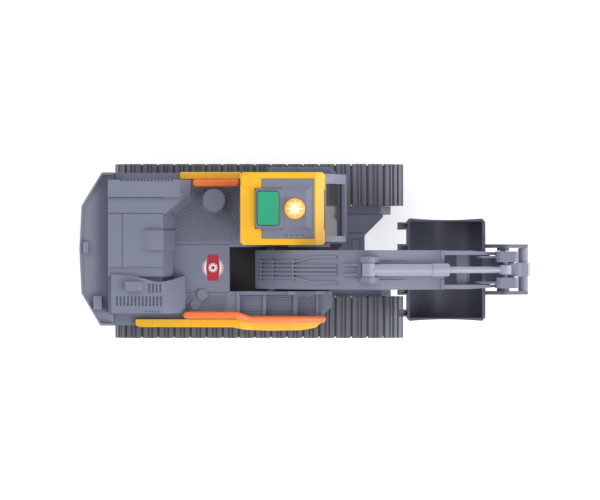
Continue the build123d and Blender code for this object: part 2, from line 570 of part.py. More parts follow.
with BuildPart() as speaker:
    disc_z([SPK], 10.6, FLOOR_Z1 + 0.6, FLOOR_Z1 + 2.0)
    disc_z([SPK], 8.6, FLOOR_Z1 + 2.0, FLOOR_Z1 + 3.4)
    disc_z([SPK], 5.0, FLOOR_Z1 + 3.4, FLOOR_Z1 + 5.4)
    disc_z([SPK], 9.0, FLOOR_Z1 + 0.3, FLOOR_Z1 + 1.0, Mode.SUBTRACT)
save(speaker, "speaker")

# coloured side panels and grab rails
with BuildPart() as right_panel:
    plan([(-97.1, -38.85), (-97.1, -42.2), (-94.4, -43.3), (-42.0, -43.5), (-34.0, -45.0), (-20.0, -45.5), (-2.0, -45.3),
          (5.6, -43.9), (8.7, -41.2), (8.7, -40.0), (6.6, -38.85)], 42.6, 64.6)
    elev([(-37.5, 64.7), (-30.0, 60.5), (-8.0, 55.6), (2.0, 51.5), (8.8, 48.0), (12, 48), (12, 70), (-37.5, 70)], -38, -46,
         mode=Mode.SUBTRACT)
    # shallow service doors pressed into the outer face
    block(-90, -70, -44.0, -42.8, 46.5, 59.5, 0, Mode.SUBTRACT)
    block(-89.2, -70.8, -43.3, -42.7, 47.3, 58.7)
    block(-66, -46, -44.0, -42.9, 46.5, 59.5, 0, Mode.SUBTRACT)
    block(-65.2, -46.8, -43.4, -42.8, 47.3, 58.7)
save(right_panel, "right_side_panel")

with BuildPart() as left_panel:
    block(-71.8, -36.75, 40.85, 45.0, 42.6, 64.6, 0.9)
    soften_top(0.6)
    block(-68, -41, 44.4, 45.6, 46.5, 59.5, 0, Mode.SUBTRACT)
    block(-67.2, -41.8, 43.9, 44.9, 47.3, 58.7)
save(left_panel, "left_side_panel")

RAIL_R = [(-67.8, -36.4, 69.0), (-39.5, -36.4, 69.0), (-32.0, -39.0, 66.4), (-8.0, -39.0, 61.2), (9.6, -39.0, 55.6)]
with BuildPart() as right_rail:
    with BuildLine() as rail_path:
        FilletPolyline(*RAIL_R, radius=4.0)
    with BuildSketch(Plane(origin=RAIL_R[0], x_dir=(0, 1, 0), z_dir=(1, 0, 0))):
        RectangleRounded(4.0, 4.4, 1.6)
    sweep(path=rail_path.line)
    with Locations(RAIL_R[0]):
        Sphere(2.0)
    with Locations(RAIL_R[-1]):
        Sphere(2.0)
    # posts: the rear ones stand on the deck, the front ones on the step side wall
    disc_z([(-64.5, -36.4), (-46.5, -36.4)], 1.3, DECK_Z + 0.03, 69.0)
    disc_z([(-27.0, -37.9)], 0.85, 60.5, 65.0)
    disc_z([(6.5, -37.9)], 0.85, 48.95, 56.4)
save(right_rail, "right_handrail")

with BuildPart() as left_rail:
    hull_pts = [(-62.6, 38.7), (-39.6, 38.7)]
    with BuildSketch(Plane.XY.offset(66.6)) as lr:
        with Locations(*hull_pts):
            Circle(2.0)
        make_hull()
    extrude(lr.sketch, amount=4.2)
    fillet(edges().filter_by(GeomType.LINE), 1.4)
    disc_z([(-60.0, 38.3), (-42.0, 38.3)], 1.3, DECK_Z + 0.03, 67.5)
save(left_rail, "left_handrail")

with BuildPart() as deck_label:
    block(-59.0, -47.0, -17.2, -1.8, DECK_Z + 0.02, DECK_Z + 0.2, 2.6)
save(deck_label, "deck_label")

with BuildPart() as boom_pivot_pin:
    disc_y([F], 2.5, 4.8, -24.7)
    chamfer(edges().filter_by(GeomType.CIRCLE), 0.4)
save(boom_pivot_pin, "boom_pivot_pin")

with BuildPart() as boom_cyl_foot_pin:
    disc_y([G], 1.48, YB + 8.4, YB - 8.4)
save(boom_cyl_foot_pin, "boom_cylinder_foot_pin")

# ---------------------------------------------------------------------------
# cab
# ---------------------------------------------------------------------------
CAB_OUT = [(-35.6, 46.0), (23.2, 46.0), (23.4, 57.0), (11.2, 95.9), (-35.6, 95.9)]
CAB_IN = [(-33.6, 48.0), (21.2, 48.0), (21.3, 56.8), (9.2, 96.5), (-33.6, 96.5)]
CAB_Y0, CAB_Y1 = 5.2, 43.6

with BuildPart() as cab_frame:
    elev(CAB_OUT, CAB_Y1, CAB_Y0)
    vert = edges().filter_by(Axis.Z).sort_by(Axis.X)[:2]
    fillet(vert, 1.5)
    elev(CAB_IN, CAB_Y1 - 2.0, CAB_Y0 + 2.0, mode=Mode.SUBTRACT)
    # screw boss that ties the cab to the floor
    disc_z([(2.0, 36.0)], 2.4, 47.0, 51.0)
    disc_z([(2.0, 36.0)], 1.02, 45.0, 50.0, Mode.SUBTRACT)
    # left side: door glass and rear quarter glass
    elev([(-9.5, 60.5), (18.0, 60.5), (9.0, 91.5), (-9.5, 91.5)], 46, 40, r=1.6, mode=Mode.SUBTRACT)
    elev([(-31.0, 64.5), (-13.0, 64.5), (-13.0, 91.5), (-31.0, 91.5)], 46, 40, r=1.6, mode=Mode.SUBTRACT)
    # right side: one long glass
    elev([(-31.0, 64.5), (17.0, 64.5), (9.0, 91.5), (-31.0, 91.5)], 8, 3, r=1.6, mode=Mode.SUBTRACT)
    # windscreen between the front pillars, and rear glass
    cross([(8.6, 60.0), (38.1, 60.0), (38.1, 95.2), (8.6, 95.2)], 5, 27, r=1.2, mode=Mode.SUBTRACT)
    cross([(9.6, 66.0), (39.0, 66.0), (39.0, 91.0), (9.6, 91.0)], -37, -32, r=1.6, mode=Mode.SUBTRACT)
    # door shut lines, handle and lower bumper
    elev([(-11.7, 49.0), (-11.1, 49.0), (-11.1, 93.5), (-11.7, 93.5)], 44, 43.1, mode=Mode.SUBTRACT)
    elev([(-11.1, 49.0), (20.0, 49.0), (20.0, 49.6), (-11.1, 49.6)], 44, 43.1, mode=Mode.SUBTRACT)
    elev([(-9.2, 55.0), (-2.6, 55.0), (-2.6, 56.8), (-9.2, 56.8)], 44.3, 43.4, r=0.5)
    cross([(5.2, 56.6), (43.6, 56.6), (43.6, 58.8), (5.2, 58.8)], 20.6, 23.6)
    # wiper arm boss under the windscreen
    cross([(22.4, 54.2), (25.4, 54.2), (25.4, 56.0), (22.4, 56.0)], 23.0, 23.8)
save(cab_frame, "cab_frame")

with BuildPart() as cab_windows:
    elev([(-33.5, 58.9), (20.4, 58.9), (9.3, 95.7), (-33.5, 95.7)], CAB_Y1 - 2.1, CAB_Y0 + 2.1)
    elev([(-32.6, 58.0), (19.7, 58.0), (8.1, 96.6), (-32.6, 96.6)], CAB_Y1 - 3.0, CAB_Y0 + 3.0, mode=Mode.SUBTRACT)
save(cab_windows, "cab_windows")

with BuildPart() as cab_seat:
    elev([(-24.0, 48.1), (-8.0, 48.1), (-8.0, 52.0), (-11.0, 56.4), (-20.0, 56.0), (-23.0, 73.0), (-26.6, 73.4), (-25.4, 55.0)],
         31.0, 17.0, r=0.9)
    block(-21.0, -11.0, 14.2, 16.2, 48.1, 61.0, 0.6)
    block(-21.0, -11.0, 31.8, 33.8, 48.1, 61.0, 0.6)
    block(-22.5, -9.5, 14.2, 33.8, 48.1, 49.4)
save(cab_seat, "cab_seat")

MOD = (-24.7, 4.6, 7.2, 40.6)       # grey roof panel
BEZ = (-28.5, -13.3, 12.6, 35.1)    # bezel round the button
PLT = (-13.6, 0.2, 12.6, 35.5)      # plateau with the beacon
BEACON = (-6.2, 23.8)

with BuildPart() as cab_roof:
    plan([(-36.9, 5.0), (-36.9, 43.0), (-35.5, 44.4), (9.4, 44.4), (10.9, 43.0), (10.9, 34.8), (10.2, 34.2), (10.2, 12.2),
          (10.9, 11.6), (10.9, 4.9), (9.4, 3.4), (-35.4, 3.4)], ROOF_Z0, ROOF_Z1)
    elev([(4.9, 102.4), (11.6, 98.2), (12, 104), (4.9, 104)], 46, 2, mode=Mode.SUBTRACT)
    block(-34.9, 8.9, 5.4, 42.4, ROOF_Z0 - 0.1, 99.7, 0, Mode.SUBTRACT)
    block(MOD[0] - 0.1, MOD[1] + 0.1, MOD[2] - 0.1, MOD[3] + 0.1, 95, 103, 0, Mode.SUBTRACT)
    block(BEZ[0] - 0.1, BEZ[1] + 0.1, BEZ[2] - 0.1, BEZ[3] + 0.1, 95, 103, 0, Mode.SUBTRACT)
    # lamp block on the rear left corner
    block(-36.2, -31.5, 36.3, 42.9, ROOF_Z1 - 0.2, 102.9, 0.5)
save(cab_roof, "cab_roof")

with BuildPart() as roof_module:
    block(MOD[0], MOD[1], MOD[2], MOD[3], 99.6, 102.7, 0.6)
    soften_top(0.4)
    block(BEZ[0], BEZ[1], BEZ[2], BEZ[3], 99.0, 104.6, 1.6)
    soften_top(0.7)
    # bevelled plateau under the beacon
    with BuildSketch(Plane.XY.offset(102.5)) as p0:
        with BuildLine():
            Polyline(*rect(PLT[0] - 0.2, PLT[1] + 3.4, PLT[2] - 1.6, PLT[3] + 1.6), close=True)
        make_face()
    with BuildSketch(Plane.XY.offset(104.2)) as p1:
        with BuildLine():
            Polyline(*rect(PLT[0] - 0.2, PLT[1], PLT[2] + 2.0, PLT[3] - 2.0), close=True)
        make_face()
    loft([p0.sketch, p1.sketch])
    # skirt that carries the circuit board
    block(-28.3, 3.0, 12.0, 36.0, 88.4, 99.65)
    block(-27.6, 1.8, 13.2, 34.9, 88.0, 99.4, 0, Mode.SUBTRACT)
    # button opening, beacon seat
    block(BTN[0] - 0.25, BTN[1] + 0.25, BTN[2] - 0.25, BTN[3] + 0.25, 95.0, 106.0, 1.6, Mode.SUBTRACT)
    disc_z([BEACON], 4.6, 98.0, 106.0, Mode.SUBTRACT)
    disc_z([BEACON], 6.1, 102.9, 106.0, Mode.SUBTRACT)
    # four small vents beside the plateau
    for k in range(4):
        block(-12.0 + 3.2 * k, -10.4 + 3.2 * k, 8.6, 9.4, 102.3, 103.0, 0, Mode.SUBTRACT)
save(roof_module, "roof_module_housing")

with BuildPart() as button:
    block(BTN[0], BTN[1], BTN[2], BTN[3], 99.2, 106.6, 1.5)
    soften_top(0.6)
    # snap flange under the bezel
    block(-26.9, -15.6, 13.45, 34.65, 97.9, 99.25)
    block(BTN[0] + 1.4, BTN[1] - 1.4, BTN[2] + 1.4, BTN[3] - 1.4, 99.3, 105.0, 0, Mode.SUBTRACT)
    # plunger
    disc_z([(-21.25, 24.05)], 1.8, 98.0, 100.0)
save(button, "sound_button")

BOARD_Z = 90.6
with BuildPart() as board:
    block(-27.2, 1.5, 13.6, 34.5, BOARD_Z - 1.2, BOARD_Z)
    block(-10.8, -8.8, 16.0, 19.0, BOARD_Z, BOARD_Z + 1.2)
    block(-6.0, -1.5, 29.5, 33.0, BOARD_Z, BOARD_Z + 1.6)
save(board, "circuit_board")

with BuildPart() as tact_switch:
    block(-24.25, -18.25, 21.05, 27.05, BOARD_Z + 0.02, BOARD_Z + 3.6)
    disc_z([(-21.25, 24.05)], 1.7, BOARD_Z + 3.6, 96.4)
save(tact_switch, "tact_switch")

SPRING_R, SPRING_W = 5.0, 0.32
SPRING_Z0, SPRING_Z1 = BOARD_Z + 0.45, 97.45
with BuildPart() as spring:
    with BuildLine(Plane(origin=(-21.25, 24.05, SPRING_Z0))) as coil:
        Helix(pitch=(SPRING_Z1 - SPRING_Z0) / 4.0, height=SPRING_Z1 - SPRING_Z0, radius=SPRING_R)
    with BuildSketch(Plane(coil.line @ 0, z_dir=coil.line % 0)):
        Circle(SPRING_W)
    sweep(path=coil.line, is_frenet=True)
save(spring, "button_spring")

with BuildPart() as led:
    disc_z([BEACON], 2.9, BOARD_Z + 0.02, 92.0)
    disc_z([BEACON], 2.5, 92.0, 100.6)
    with Locations((BEACON[0], BEACON[1], 100.6)):
        Sphere(2.5)
save(led, "beacon_led")

with BuildPart() as beacon_lens:
    disc_z([BEACON], 5.9, 103.0, 105.4)
    with BuildSketch(Plane(origin=(BEACON[0], BEACON[1], 0), x_dir=(1, 0, 0), z_dir=(0, -1, 0))) as dome:
        with BuildLine():
            Line((0, 105.3), (5.6, 105.3))
            Spline((5.6, 105.3), (4.9, 108.2), (2.8, 110.0), (0, 110.6))
            Line((0, 110.6), (0, 105.3))
        make_face()
    revolve(axis=Axis((BEACON[0], BEACON[1], 0), (0, 0, 1)))
    disc_z([BEACON], 4.3, 102.0, 105.6, Mode.SUBTRACT)
save(beacon_lens, "beacon_lens")

# ---------------------------------------------------------------------------
# boom
# ---------------------------------------------------------------------------
BOOM_TOP = [(-28.55, 57.7), (-17.5, 84.0), (-5.0, 104.5), (8.0, 119.5), (21.0, 129.8), (32.0, 134.0), (43.0, 132.8), (77.3, 123.2)]
BOOM_BOT = [(77.3, 108.0), (60.0, 112.4), (44.0, 115.0), (32.0, 112.2), (21.0, 103.0), (9.0, 88.0), (-11.6, 52.1)]
BOX_END = 77.3


def shift(pts, d):
    """Points moved by d to the left of the direction in which they run."""
    out = []
    for i, (x, z) in enumerate(pts):
        x0, z0 = pts[max(i - 1, 0)]
        x1, z1 = pts[min(i + 1, len(pts) - 1)]
        n = math.hypot(x1 - x0, z1 - z0)
        out.append((x - d * (z1 - z0) / n, z + d * (x1 - x0) / n))
    return out


with BuildLine() as boom_edge:
    Spline(*BOOM_TOP)
    Line((77.3, 123.2), (77.3, 108.0))
    Spline(*BOOM_BOT)
    ThreePointArc((-11.6, 52.1), (-21.6, 46.15), (-28.55, 57.7))


def boom_face():
    """Side outline of the boom box, from the foot to the bulkhead."""
    add(boom_edge.line)
    make_face()


with BuildPart() as boom_skin:
    # thin skin over the upper edge, the stock for the moulded hose lines
    with BuildSketch(side(YB + BOOM_HALF)) as skin:
        with BuildLine():
            upper, lower = shift(BOOM_TOP[:-1], 0.9), shift(BOOM_TOP[:-1], -0.7)
            Spline(*upper)
            Line(upper[-1], lower[-1])
            Spline(*lower)
            Line(lower[0], upper[0])
        make_face()
    extrude(skin.sketch, amount=2 * BOOM_HALF)
    with BuildSketch(Plane.XY.offset(40)) as lines:
        for ya, yb in ((-5.9, -3.4), (-8.2, -8.2), (-10.5, -10.5), (-12.8, -12.8), (-15.1, -17.6)):
            w = 0.62
            with BuildLine():
                Polyline((-27.6, ya - w), (-6.0, ya - w), (4.0, yb - w), (17.0, yb - w), (17.0, yb + w), (4.0, yb + w), (-6.0, ya + w),
                         (-27.6, ya + w), close=True)
            make_face()
        for cx in (-25.6, -18.8, -7.3):
            with Locations((cx, YB)):
                Rectangle(1.1, 11.6)
    extrude(lines.sketch, amount=110, mode=Mode.INTERSECT)
    block(-40, 60, -40, 20, 40, 57, 0, Mode.SUBTRACT)
    elev([(-30, 57), (-10, 57), (40, 118), (40, 50), (-30, 50)], 20, -40, mode=Mode.SUBTRACT)
    elev([(-8, 57), (-20, 57), (12, 112), (30, 112), (30, 57)], 20, -40, mode=Mode.SUBTRACT)

with BuildPart() as boom_shell:
    with BuildSketch(side(YB + BOOM_HALF)) as bf:
        boom_face()
    extrude(bf.sketch, amount=2 * BOOM_HALF)
    # inside, open along the underside
    with BuildSketch(side(YB + 8.8)) as bi:
        with BuildLine():
            roof_in, floor_in = shift(BOOM_TOP, -2.2), shift(BOOM_BOT, -2.2)
            roof_in[0], roof_in[-1] = (-22.0, 66.0), (75.4, 121.4)
            floor_in[0], floor_in[-1] = (75.4, 110.6), (-13.0, 61.0)
            Spline(*roof_in)
            Line(roof_in[-1], floor_in[0])
            Spline(*floor_in)
            Line(floor_in[-1], roof_in[0])
        make_face()
    extrude(bi.sketch, amount=17.6, mode=Mode.SUBTRACT)
    elev([(-6.0, 58.0), (9.0, 83.5), (22.0, 99.5), (33.0, 109.0), (44.0, 112.2), (60.0, 109.6), (72.0, 106.8), (73.0, 112.6),
          (60.0, 116.0), (43.5, 119.0), (30.0, 115.5), (18.0, 105.0), (5.0, 89.0), (-10.0, 64.0)], YB + 8.8, YB - 8.8, mode=Mode.SUBTRACT)
    # foot
    disc_y([F], 8.4, YB + BOOM_HALF, YB - BOOM_HALF)
    # solid end bulkhead and the open fork
    elev([(75.3, 108.6), (77.3, 108.1), (77.3, 123.1), (75.3, 123.4)], YB + BOOM_HALF, YB - BOOM_HALF)
    for s in (1, -1):
        a, b = sorted((YB + s * 8.3, YB + s * 10.75), reverse=True)
        with BuildSketch(side(a)) as fk1:
            with BuildLine():
                Polyline((76.5, 108.3), (76.5, 123.2), (90.0, 119.2), (100.5, 115.8), (100.5, 104.2), (90.0, 105.4), close=True)
            make_face()
            with Locations(P):
                Circle(5.8)
        extrude(fk1.sketch, amount=a - b)
    plan([(92.0, YB + 10.75), (107.0, YB + 9.75), (107.0, YB + 12), (92.0, YB + 12)], 100, 120, 0, Mode.SUBTRACT)
    plan([(92.0, YB - 10.75), (107.0, YB - 9.75), (107.0, YB - 12), (92.0, YB - 12)], 100, 120, 0, Mode.SUBTRACT)
    # cross block inside the fork
    elev([(84.4, 107.4), (91.7, 106.6), (91.7, 111.5), (89.7, 114.4), (84.4, 114.4)], YB + 8.5, YB - 8.5)
    # shallow trough under the cylinder
    elev([(41.0, 132.3), (79.0, 121.7), (82.0, 130.0), (41.0, 140.4)], YB + 5.4, YB - 5.4, mode=Mode.SUBTRACT)
    # bracket for the stick cylinder with two small ribs behind it
    for s in (1, -1):
        a, b = sorted((YB + s * 4.0, YB + s * 7.3), reverse=True)
        hull_y([(T[0], T[1], 3.8), (T[0] - 1.5, 134.0, 3.4), (T[0] + 3.0, 133.0, 3.0)], a, b)
        a, b = sorted((YB + s * 2.0, YB + s * 3.4), reverse=True)
        elev([(20.6, 128.0), (20.6, 131.6), (28.8, 135.6), (30.4, 134.4), (30.4, 131.0)], a, b)
    block(29.0, 31.0, YB - 4.2, YB + 4.2, 130.0, 136.4)
    # lugs for the boom cylinder head
    for s in (1, -1):
        a, b = sorted((YB + s * 5.2, YB + s * 9.0), reverse=True)
        hull_y([(H[0], H[1], 3.4), (26.5, 112.0, 2.6), (34.5, 116.5, 1.6)], a, b)
    # bores
    disc_y([F], 2.5 + RUN, YB + 15, YB - 15, Mode.SUBTRACT)
    disc_y([P], 2.6 + RUN, YB + 15, YB - 15, Mode.SUBTRACT)
    disc_y([T], 1.5, YB + 10, YB - 10, Mode.SUBTRACT)
    disc_y([H], 1.5, YB + 8.4, YB - 8.4, Mode.SUBTRACT)
    add(boom_skin.part)
save(boom_shell, "boom_shell")

with BuildPart() as boom_cover:
    with BuildSketch(side(YB + 8.6)) as bc:
        boom_face()
    extrude(bc.sketch, amount=17.2)
    with BuildSketch(side(YB + 9.6)) as bci:
        with BuildLine():
            hi, lo = shift(BOOM_TOP, 3.0), shift(BOOM_BOT, -2.1)
            Spline(*hi)
            Line(hi[-1], lo[0])
            Spline(*lo)
            Line(lo[-1], hi[0])
        make_face()
    extrude(bci.sketch, amount=19.2, mode=Mode.SUBTRACT)
    elev([(-5.6, 58.6), (9.0, 83.6), (22.0, 99.6), (33.0, 109.1), (44.0, 112.3), (60.0, 109.8), (71.7, 107.0), (72.7, 112.4),
          (60.0, 115.9), (43.5, 118.9), (30.2, 115.3), (18.2, 104.8), (5.2, 88.8), (-9.6, 64.2)], YB + 9.0, YB - 9.0, mode=Mode.INTERSECT)
    # slots for the cylinder lugs
    for s in (1, -1):
        a, b = sorted((YB + s * 4.9, YB + s * 9.4), reverse=True)
        elev([(20.0, 96.0), (38.0, 108.0), (38.0, 120.0), (20.0, 116.0)], a, b, mode=Mode.SUBTRACT)
save(boom_cover, "boom_underside_cover")

with BuildPart() as stick_cyl_foot_pin:
    disc_y([T], 1.48, YB + 7.6, YB - 7.6)
save(stick_cyl_foot_pin, "stick_cylinder_foot_pin")

with BuildPart() as boom_cyl_head_pin:
    disc_y([H], 1.48, YB + 7.6, YB - 7.6)
save(boom_cyl_head_pin, "boom_cylinder_head_pin")

# ---------------------------------------------------------------------------
# stick
# ---------------------------------------------------------------------------
SH = 10.35
with BuildPart() as stick_shell:
    with BuildSketch(side(YB + SH)) as st:
        with BuildLine():
            Polyline((109.0, 62.0), (106.6, 98.0), (106.6, 121.6), (108.4, 123.4), (117.0, 123.4), (118.9, 121.6), (118.9, 103.0),
                     (117.3, 98.5), (116.4, 77.0), (116.2, 62.0))
            ThreePointArc((116.2, 62.0), (112.6, 58.4), (109.0, 62.0))
        make_face()
    extrude(st.sketch, amount=2 * SH)
    # central slot through the head
    elev([(97, 102.5), (117.4, 102.5), (117.4, 105), (130, 105), (130, 130), (97, 130)], YB + 4.3, YB - 4.3, mode=Mode.SUBTRACT)
    elev([(116.6, 92.0), (116.6, 106.0), (130.0, 106.0), (130.0, 92.0)], YB + 4.3, YB - 4.3, mode=Mode.SUBTRACT)
    # hollow beam, open at the back
    elev([(103.0, 67.0), (114.7, 67.0), (114.8, 78.0), (115.2, 97.0), (103.0, 97.0)], YB + 8.6, YB - 8.6, mode=Mode.SUBTRACT)
    # two inner cheeks that enter the boom fork, with moulded stub shafts
    for s in (1, -1):
        a, b = sorted((YB + s * 6.5, YB + s * 7.9), reverse=True)
        with BuildSketch(side(a)) as ck:
            with BuildLine():
                Polyline((100.5, 116.4), (107.0, 120.5), (107.0, 97.5), (105.0, 97.5), (99.0, 103.7), close=True)
            make_face()
            with Locations(P):
                Circle(6.4)
        extrude(ck.sketch, amount=a - b)
        a, b = sorted((YB + s * 7.8, YB + s * 9.9), reverse=True)
        disc_y([P], 2.6, a, b)
    # web between the cheeks
    block(101.2, 107.2, YB - 7.2, YB + 7.2, 97.6, 99.4)
    # pin holes
    disc_y([E], 1.5, YB + 9.0, YB - 9.0, Mode.SUBTRACT)
    disc_y([Q], 1.5, YB + 9.0, YB - 9.0, Mode.SUBTRACT)
    disc_y([K], 1.6 + RUN, YB + 15, YB - 15, Mode.SUBTRACT)
    # weight-saving recesses in the outer faces
    for s in (1, -1):
        a, b = sorted((YB + s * 9.9, YB + s * 11.0), reverse=True)
        elev([(110.6, 70.0), (114.6, 70.0), (114.8, 78.0), (115.4, 94.0), (108.9, 94.0)], a, b, r=0.8, mode=Mode.SUBTRACT)
save(stick_shell, "stick_shell")

with BuildPart() as stick_cover:
    elev([(108.95, 67.1), (110.6, 67.1), (108.7, 96.9), (107.0, 96.9)], YB + 8.5, YB - 8.5)
save(stick_cover, "stick_back_cover")

for nm, c, half in (("stick_cylinder_head_pin", E, 8.9), ("bucket_cylinder_head_pin", Q, 8.9)):
    with BuildPart() as pin:
        disc_y([c], 1.48, YB + half, YB - half)
    save(pin, nm)

# ---------------------------------------------------------------------------
# bucket
# ---------------------------------------------------------------------------
BK_Y1, BK_Y0 = 18.6, -39.8
BK_PROFILE = [(57.2, 65.6), (57.6, 60.0), (60.0, 51.5), (65.0, 43.2), (72.5, 38.0), (81.5, 36.2), (90.5, 37.4), (97.5, 41.6), (101.6, 48.2),
              (102.4, 55.0)]

with BuildPart() as bucket:
    with BuildSketch(side(BK_Y1)) as bo:
        with BuildLine():
            Spline(*BK_PROFILE)
            Polyline((102.4, 55.0), (102.4, 66.0), (57.2, 65.6))
        make_face()
    extrude(bo.sketch, amount=BK_Y1 - BK_Y0)
    with BuildSketch(side(BK_Y1 - 1.7)) as bi2:
        with BuildLine():
            Spline((59.0, 65.0), (59.5, 60.0), (61.8, 52.2), (66.3, 44.8), (73.2, 39.9), (81.5, 38.1), (89.8, 39.2), (96.2, 43.0),
                   (99.8, 49.0), (100.5, 55.0))
            Polyline((100.5, 55.0), (100.5, 70.0), (59.0, 70.0), (59.0, 65.0))
        make_face()
    extrude(bi2.sketch, amount=BK_Y1 - BK_Y0 - 3.4, mode=Mode.SUBTRACT)
    # waisted side plates
    for s, yy in ((1, BK_Y1), (-1, BK_Y0)):
        with BuildSketch(Plane.XY.offset(30)) as waist:
            with BuildLine():
                Spline((60.0, yy + s * 0.02), (80.0, yy - s * 0.85), (100.0, yy + s * 0.02))
                Polyline((100.0, yy + s * 0.02), (100.0, yy + s * 2), (60.0, yy + s * 2), (60.0, yy + s * 0.02))
            make_face()
        extrude(waist.sketch, amount=40, mode=Mode.SUBTRACT)
    # chamfered corners between the side plates, the lip and the back
    for s, yy in ((1, BK_Y1), (-1, BK_Y0)):
        for xe, d in ((57.2, 1), (102.4, -1)):
            plan([(xe - d * 2, yy + s * 2), (xe + d * 1.9, yy + s * 2), (xe + d * 1.9, yy), (xe, yy - s * 1.9), (xe - d * 2, yy - s * 1.9)],
                 30, 70, 0, Mode.SUBTRACT)
    # wear ribs under the floor
    for k in (-2, -1, 0, 1, 2):
        yy = YB + 11.6 * k
        with BuildSketch(side(yy + 0.8)) as rib:
            with BuildLine():
                Spline((62.2, 47.0), (66.0, 41.8), (73.0, 37.2), (81.5, 35.5), (90.0, 36.6), (96.5, 40.2))
                Polyline((96.5, 40.2), (92.0, 40.0), (70.0, 40.5), (62.2, 47.0))
            make_face()
        extrude(rib.sketch, amount=1.6)
    with BuildSketch(side(BK_Y1 - 1.7)) as bi3:
        with BuildLine():
            Spline((59.0, 62.0), (59.5, 60.0), (61.8, 52.2), (66.3, 44.8), (73.2, 39.9), (81.5, 38.1), (89.8, 39.2), (96.2, 43.0),
                   (99.8, 49.0), (100.5, 55.0))
            Polyline((100.5, 55.0), (100.5, 62.0), (59.0, 62.0))
        make_face()
    extrude(bi3.sketch, amount=BK_Y1 - BK_Y0 - 3.4, mode=Mode.SUBTRACT)
    # five hollow teeth
    for k in (-2, -1, 0, 1, 2):
        yy = YB + 12.4 * k
        elev([(52.2, 64.8), (58.4, 61.0), (59.0, 65.9), (53.0, 65.9)], yy + 2.1, yy - 2.1)
        elev([(53.9, 64.9), (58.0, 63.4), (58.0, 67.0), (53.9, 67.0)], yy + 1.2, yy - 1.2, mode=Mode.SUBTRACT)
    # ears
    for s in (1, -1):
        a, b = sorted((YB + s * 12.25, YB + s * 14.4), reverse=True)
        hull_y([(K[0], K[1], 4.4), (L[0], L[1], 2.85), (103.6, 63.6, 1.8), (103.6, 47.5, 1.6)], a, b)
        a, b = sorted((YB + s * 10.6, YB + s * 12.4), reverse=True)
        disc_y([K], 3.6, a, b)
    disc_y([K], 1.6, YB + 20, YB - 20, Mode.SUBTRACT)
    disc_y([L], 1.6, YB + 20, YB - 20, Mode.SUBTRACT)
save(bucket, "bucket")

with BuildPart() as bucket_pin:
    disc_y([K], 1.59, YB + 14.4, YB - 14.4)
save(bucket_pin, "bucket_pivot_pin")

with BuildPart() as link_pin:
    disc_y([L], 2.85, YB + 12.15, YB - 12.15)
    disc_y([L], 1.58, YB + 14.4, YB - 14.4)
save(link_pin, "bucket_link_bar")

# ---------------------------------------------------------------------------
# cylinders: barrel turns on one pin, rod on the other, rod slides freely inside
# ---------------------------------------------------------------------------


def along(p, q):
    """Plane at p whose normal points to q, both (x, z) in the boom centre plane."""
    dx, dz = q[0] - p[0], q[1] - p[1]
    n = math.hypot(dx, dz)
    return Plane(origin=(p[0], YB, p[1]), x_dir=(0, 1, 0), z_dir=(dx / n, 0, dz / n))


def tube_along(pl, r, a, b, mode=Mode.ADD):
    with BuildSketch(pl.offset(a)) as sk:
        Circle(r)
    return extrude(sk.sketch, amount=b - a, mode=mode)


stick_dir = along(T, E)
with BuildPart() as stick_barrel:
    disc_y([T], 3.6, YB + 3.7, YB - 3.7)
    tube_along(stick_dir, 3.3, 2.0, 45.2)
    tube_along(stick_dir, 2.85, 5.0, 46.2, Mode.SUBTRACT)
    disc_y([T], 1.5 + RUN, YB + 6, YB - 6, Mode.SUBTRACT)
save(stick_barrel, "stick_cylinder_barrel")

with BuildPart() as stick_gland:
    tube_along(stick_dir, 3.6, 36.4, 46.4)
    tube_along(stick_dir, 3.32, 35.0, 45.25, Mode.SUBTRACT)
    tube_along(stick_dir, 2.82, 41.0, 47.4, Mode.SUBTRACT)
    fillet(edges().filter_by(GeomType.CIRCLE).sort_by(Axis.X)[-2:], 0.25)
save(stick_gland, "stick_cylinder_gland")

stick_back = along(E, T)
with BuildPart() as stick_rod:
    disc_y([E], 3.5, YB + 2.6, YB - 2.6)
    tube_along(stick_back, 1.85, 2.0, 61.0)
    disc_y([E], 1.5 + RUN, YB + 6, YB - 6, Mode.SUBTRACT)
save(stick_rod, "stick_cylinder_rod")

BUCKET_HEAD = (121.2, 112.0)        # point of the bucket cylinder axis beside its head pin
bucket_dir = along(BUCKET_HEAD, L)
with BuildPart() as bucket_barrel:
    with BuildSketch(bucket_dir.offset(-1.0)):
        RectangleRounded(7.8, 7.0, 1.5)
    extrude(amount=38.0)
    hull_y([(Q[0], Q[1], 3.2), (Q[0] + 3.6, Q[1], 3.2)], YB + 3.8, YB - 3.8)
    with BuildSketch(bucket_dir.offset(7.5)):
        RectangleRounded(4.6, 6.1, 1.2)
    extrude(amount=32.0, mode=Mode.SUBTRACT)
    disc_y([Q], 1.5 + RUN, YB + 6, YB - 6, Mode.SUBTRACT)
save(bucket_barrel, "bucket_cylinder_barrel")

bucket_back = along(L, BUCKET_HEAD)
with BuildPart() as bucket_rod:
    disc_y([L], 4.2, YB + 4.0, YB - 4.0)
    tube_along(bucket_back, 1.75, 2.0, 33.0)
    disc_y([L], 2.85 + RUN, YB + 6, YB - 6, Mode.SUBTRACT)
save(bucket_rod, "bucket_cylinder_rod")

boom_dir = along(G, H)
with BuildPart() as boom_barrel:
    disc_y([G], 3.6, YB + 4.8, YB - 4.8)
    tube_along(boom_dir, 4.6, 2.5, 40.0)
    tube_along(boom_dir, 3.95, 6.0, 41.0, Mode.SUBTRACT)
    disc_y([G], 1.5 + RUN, YB + 6, YB - 6, Mode.SUBTRACT)
save(boom_barrel, "boom_cylinder_barrel")

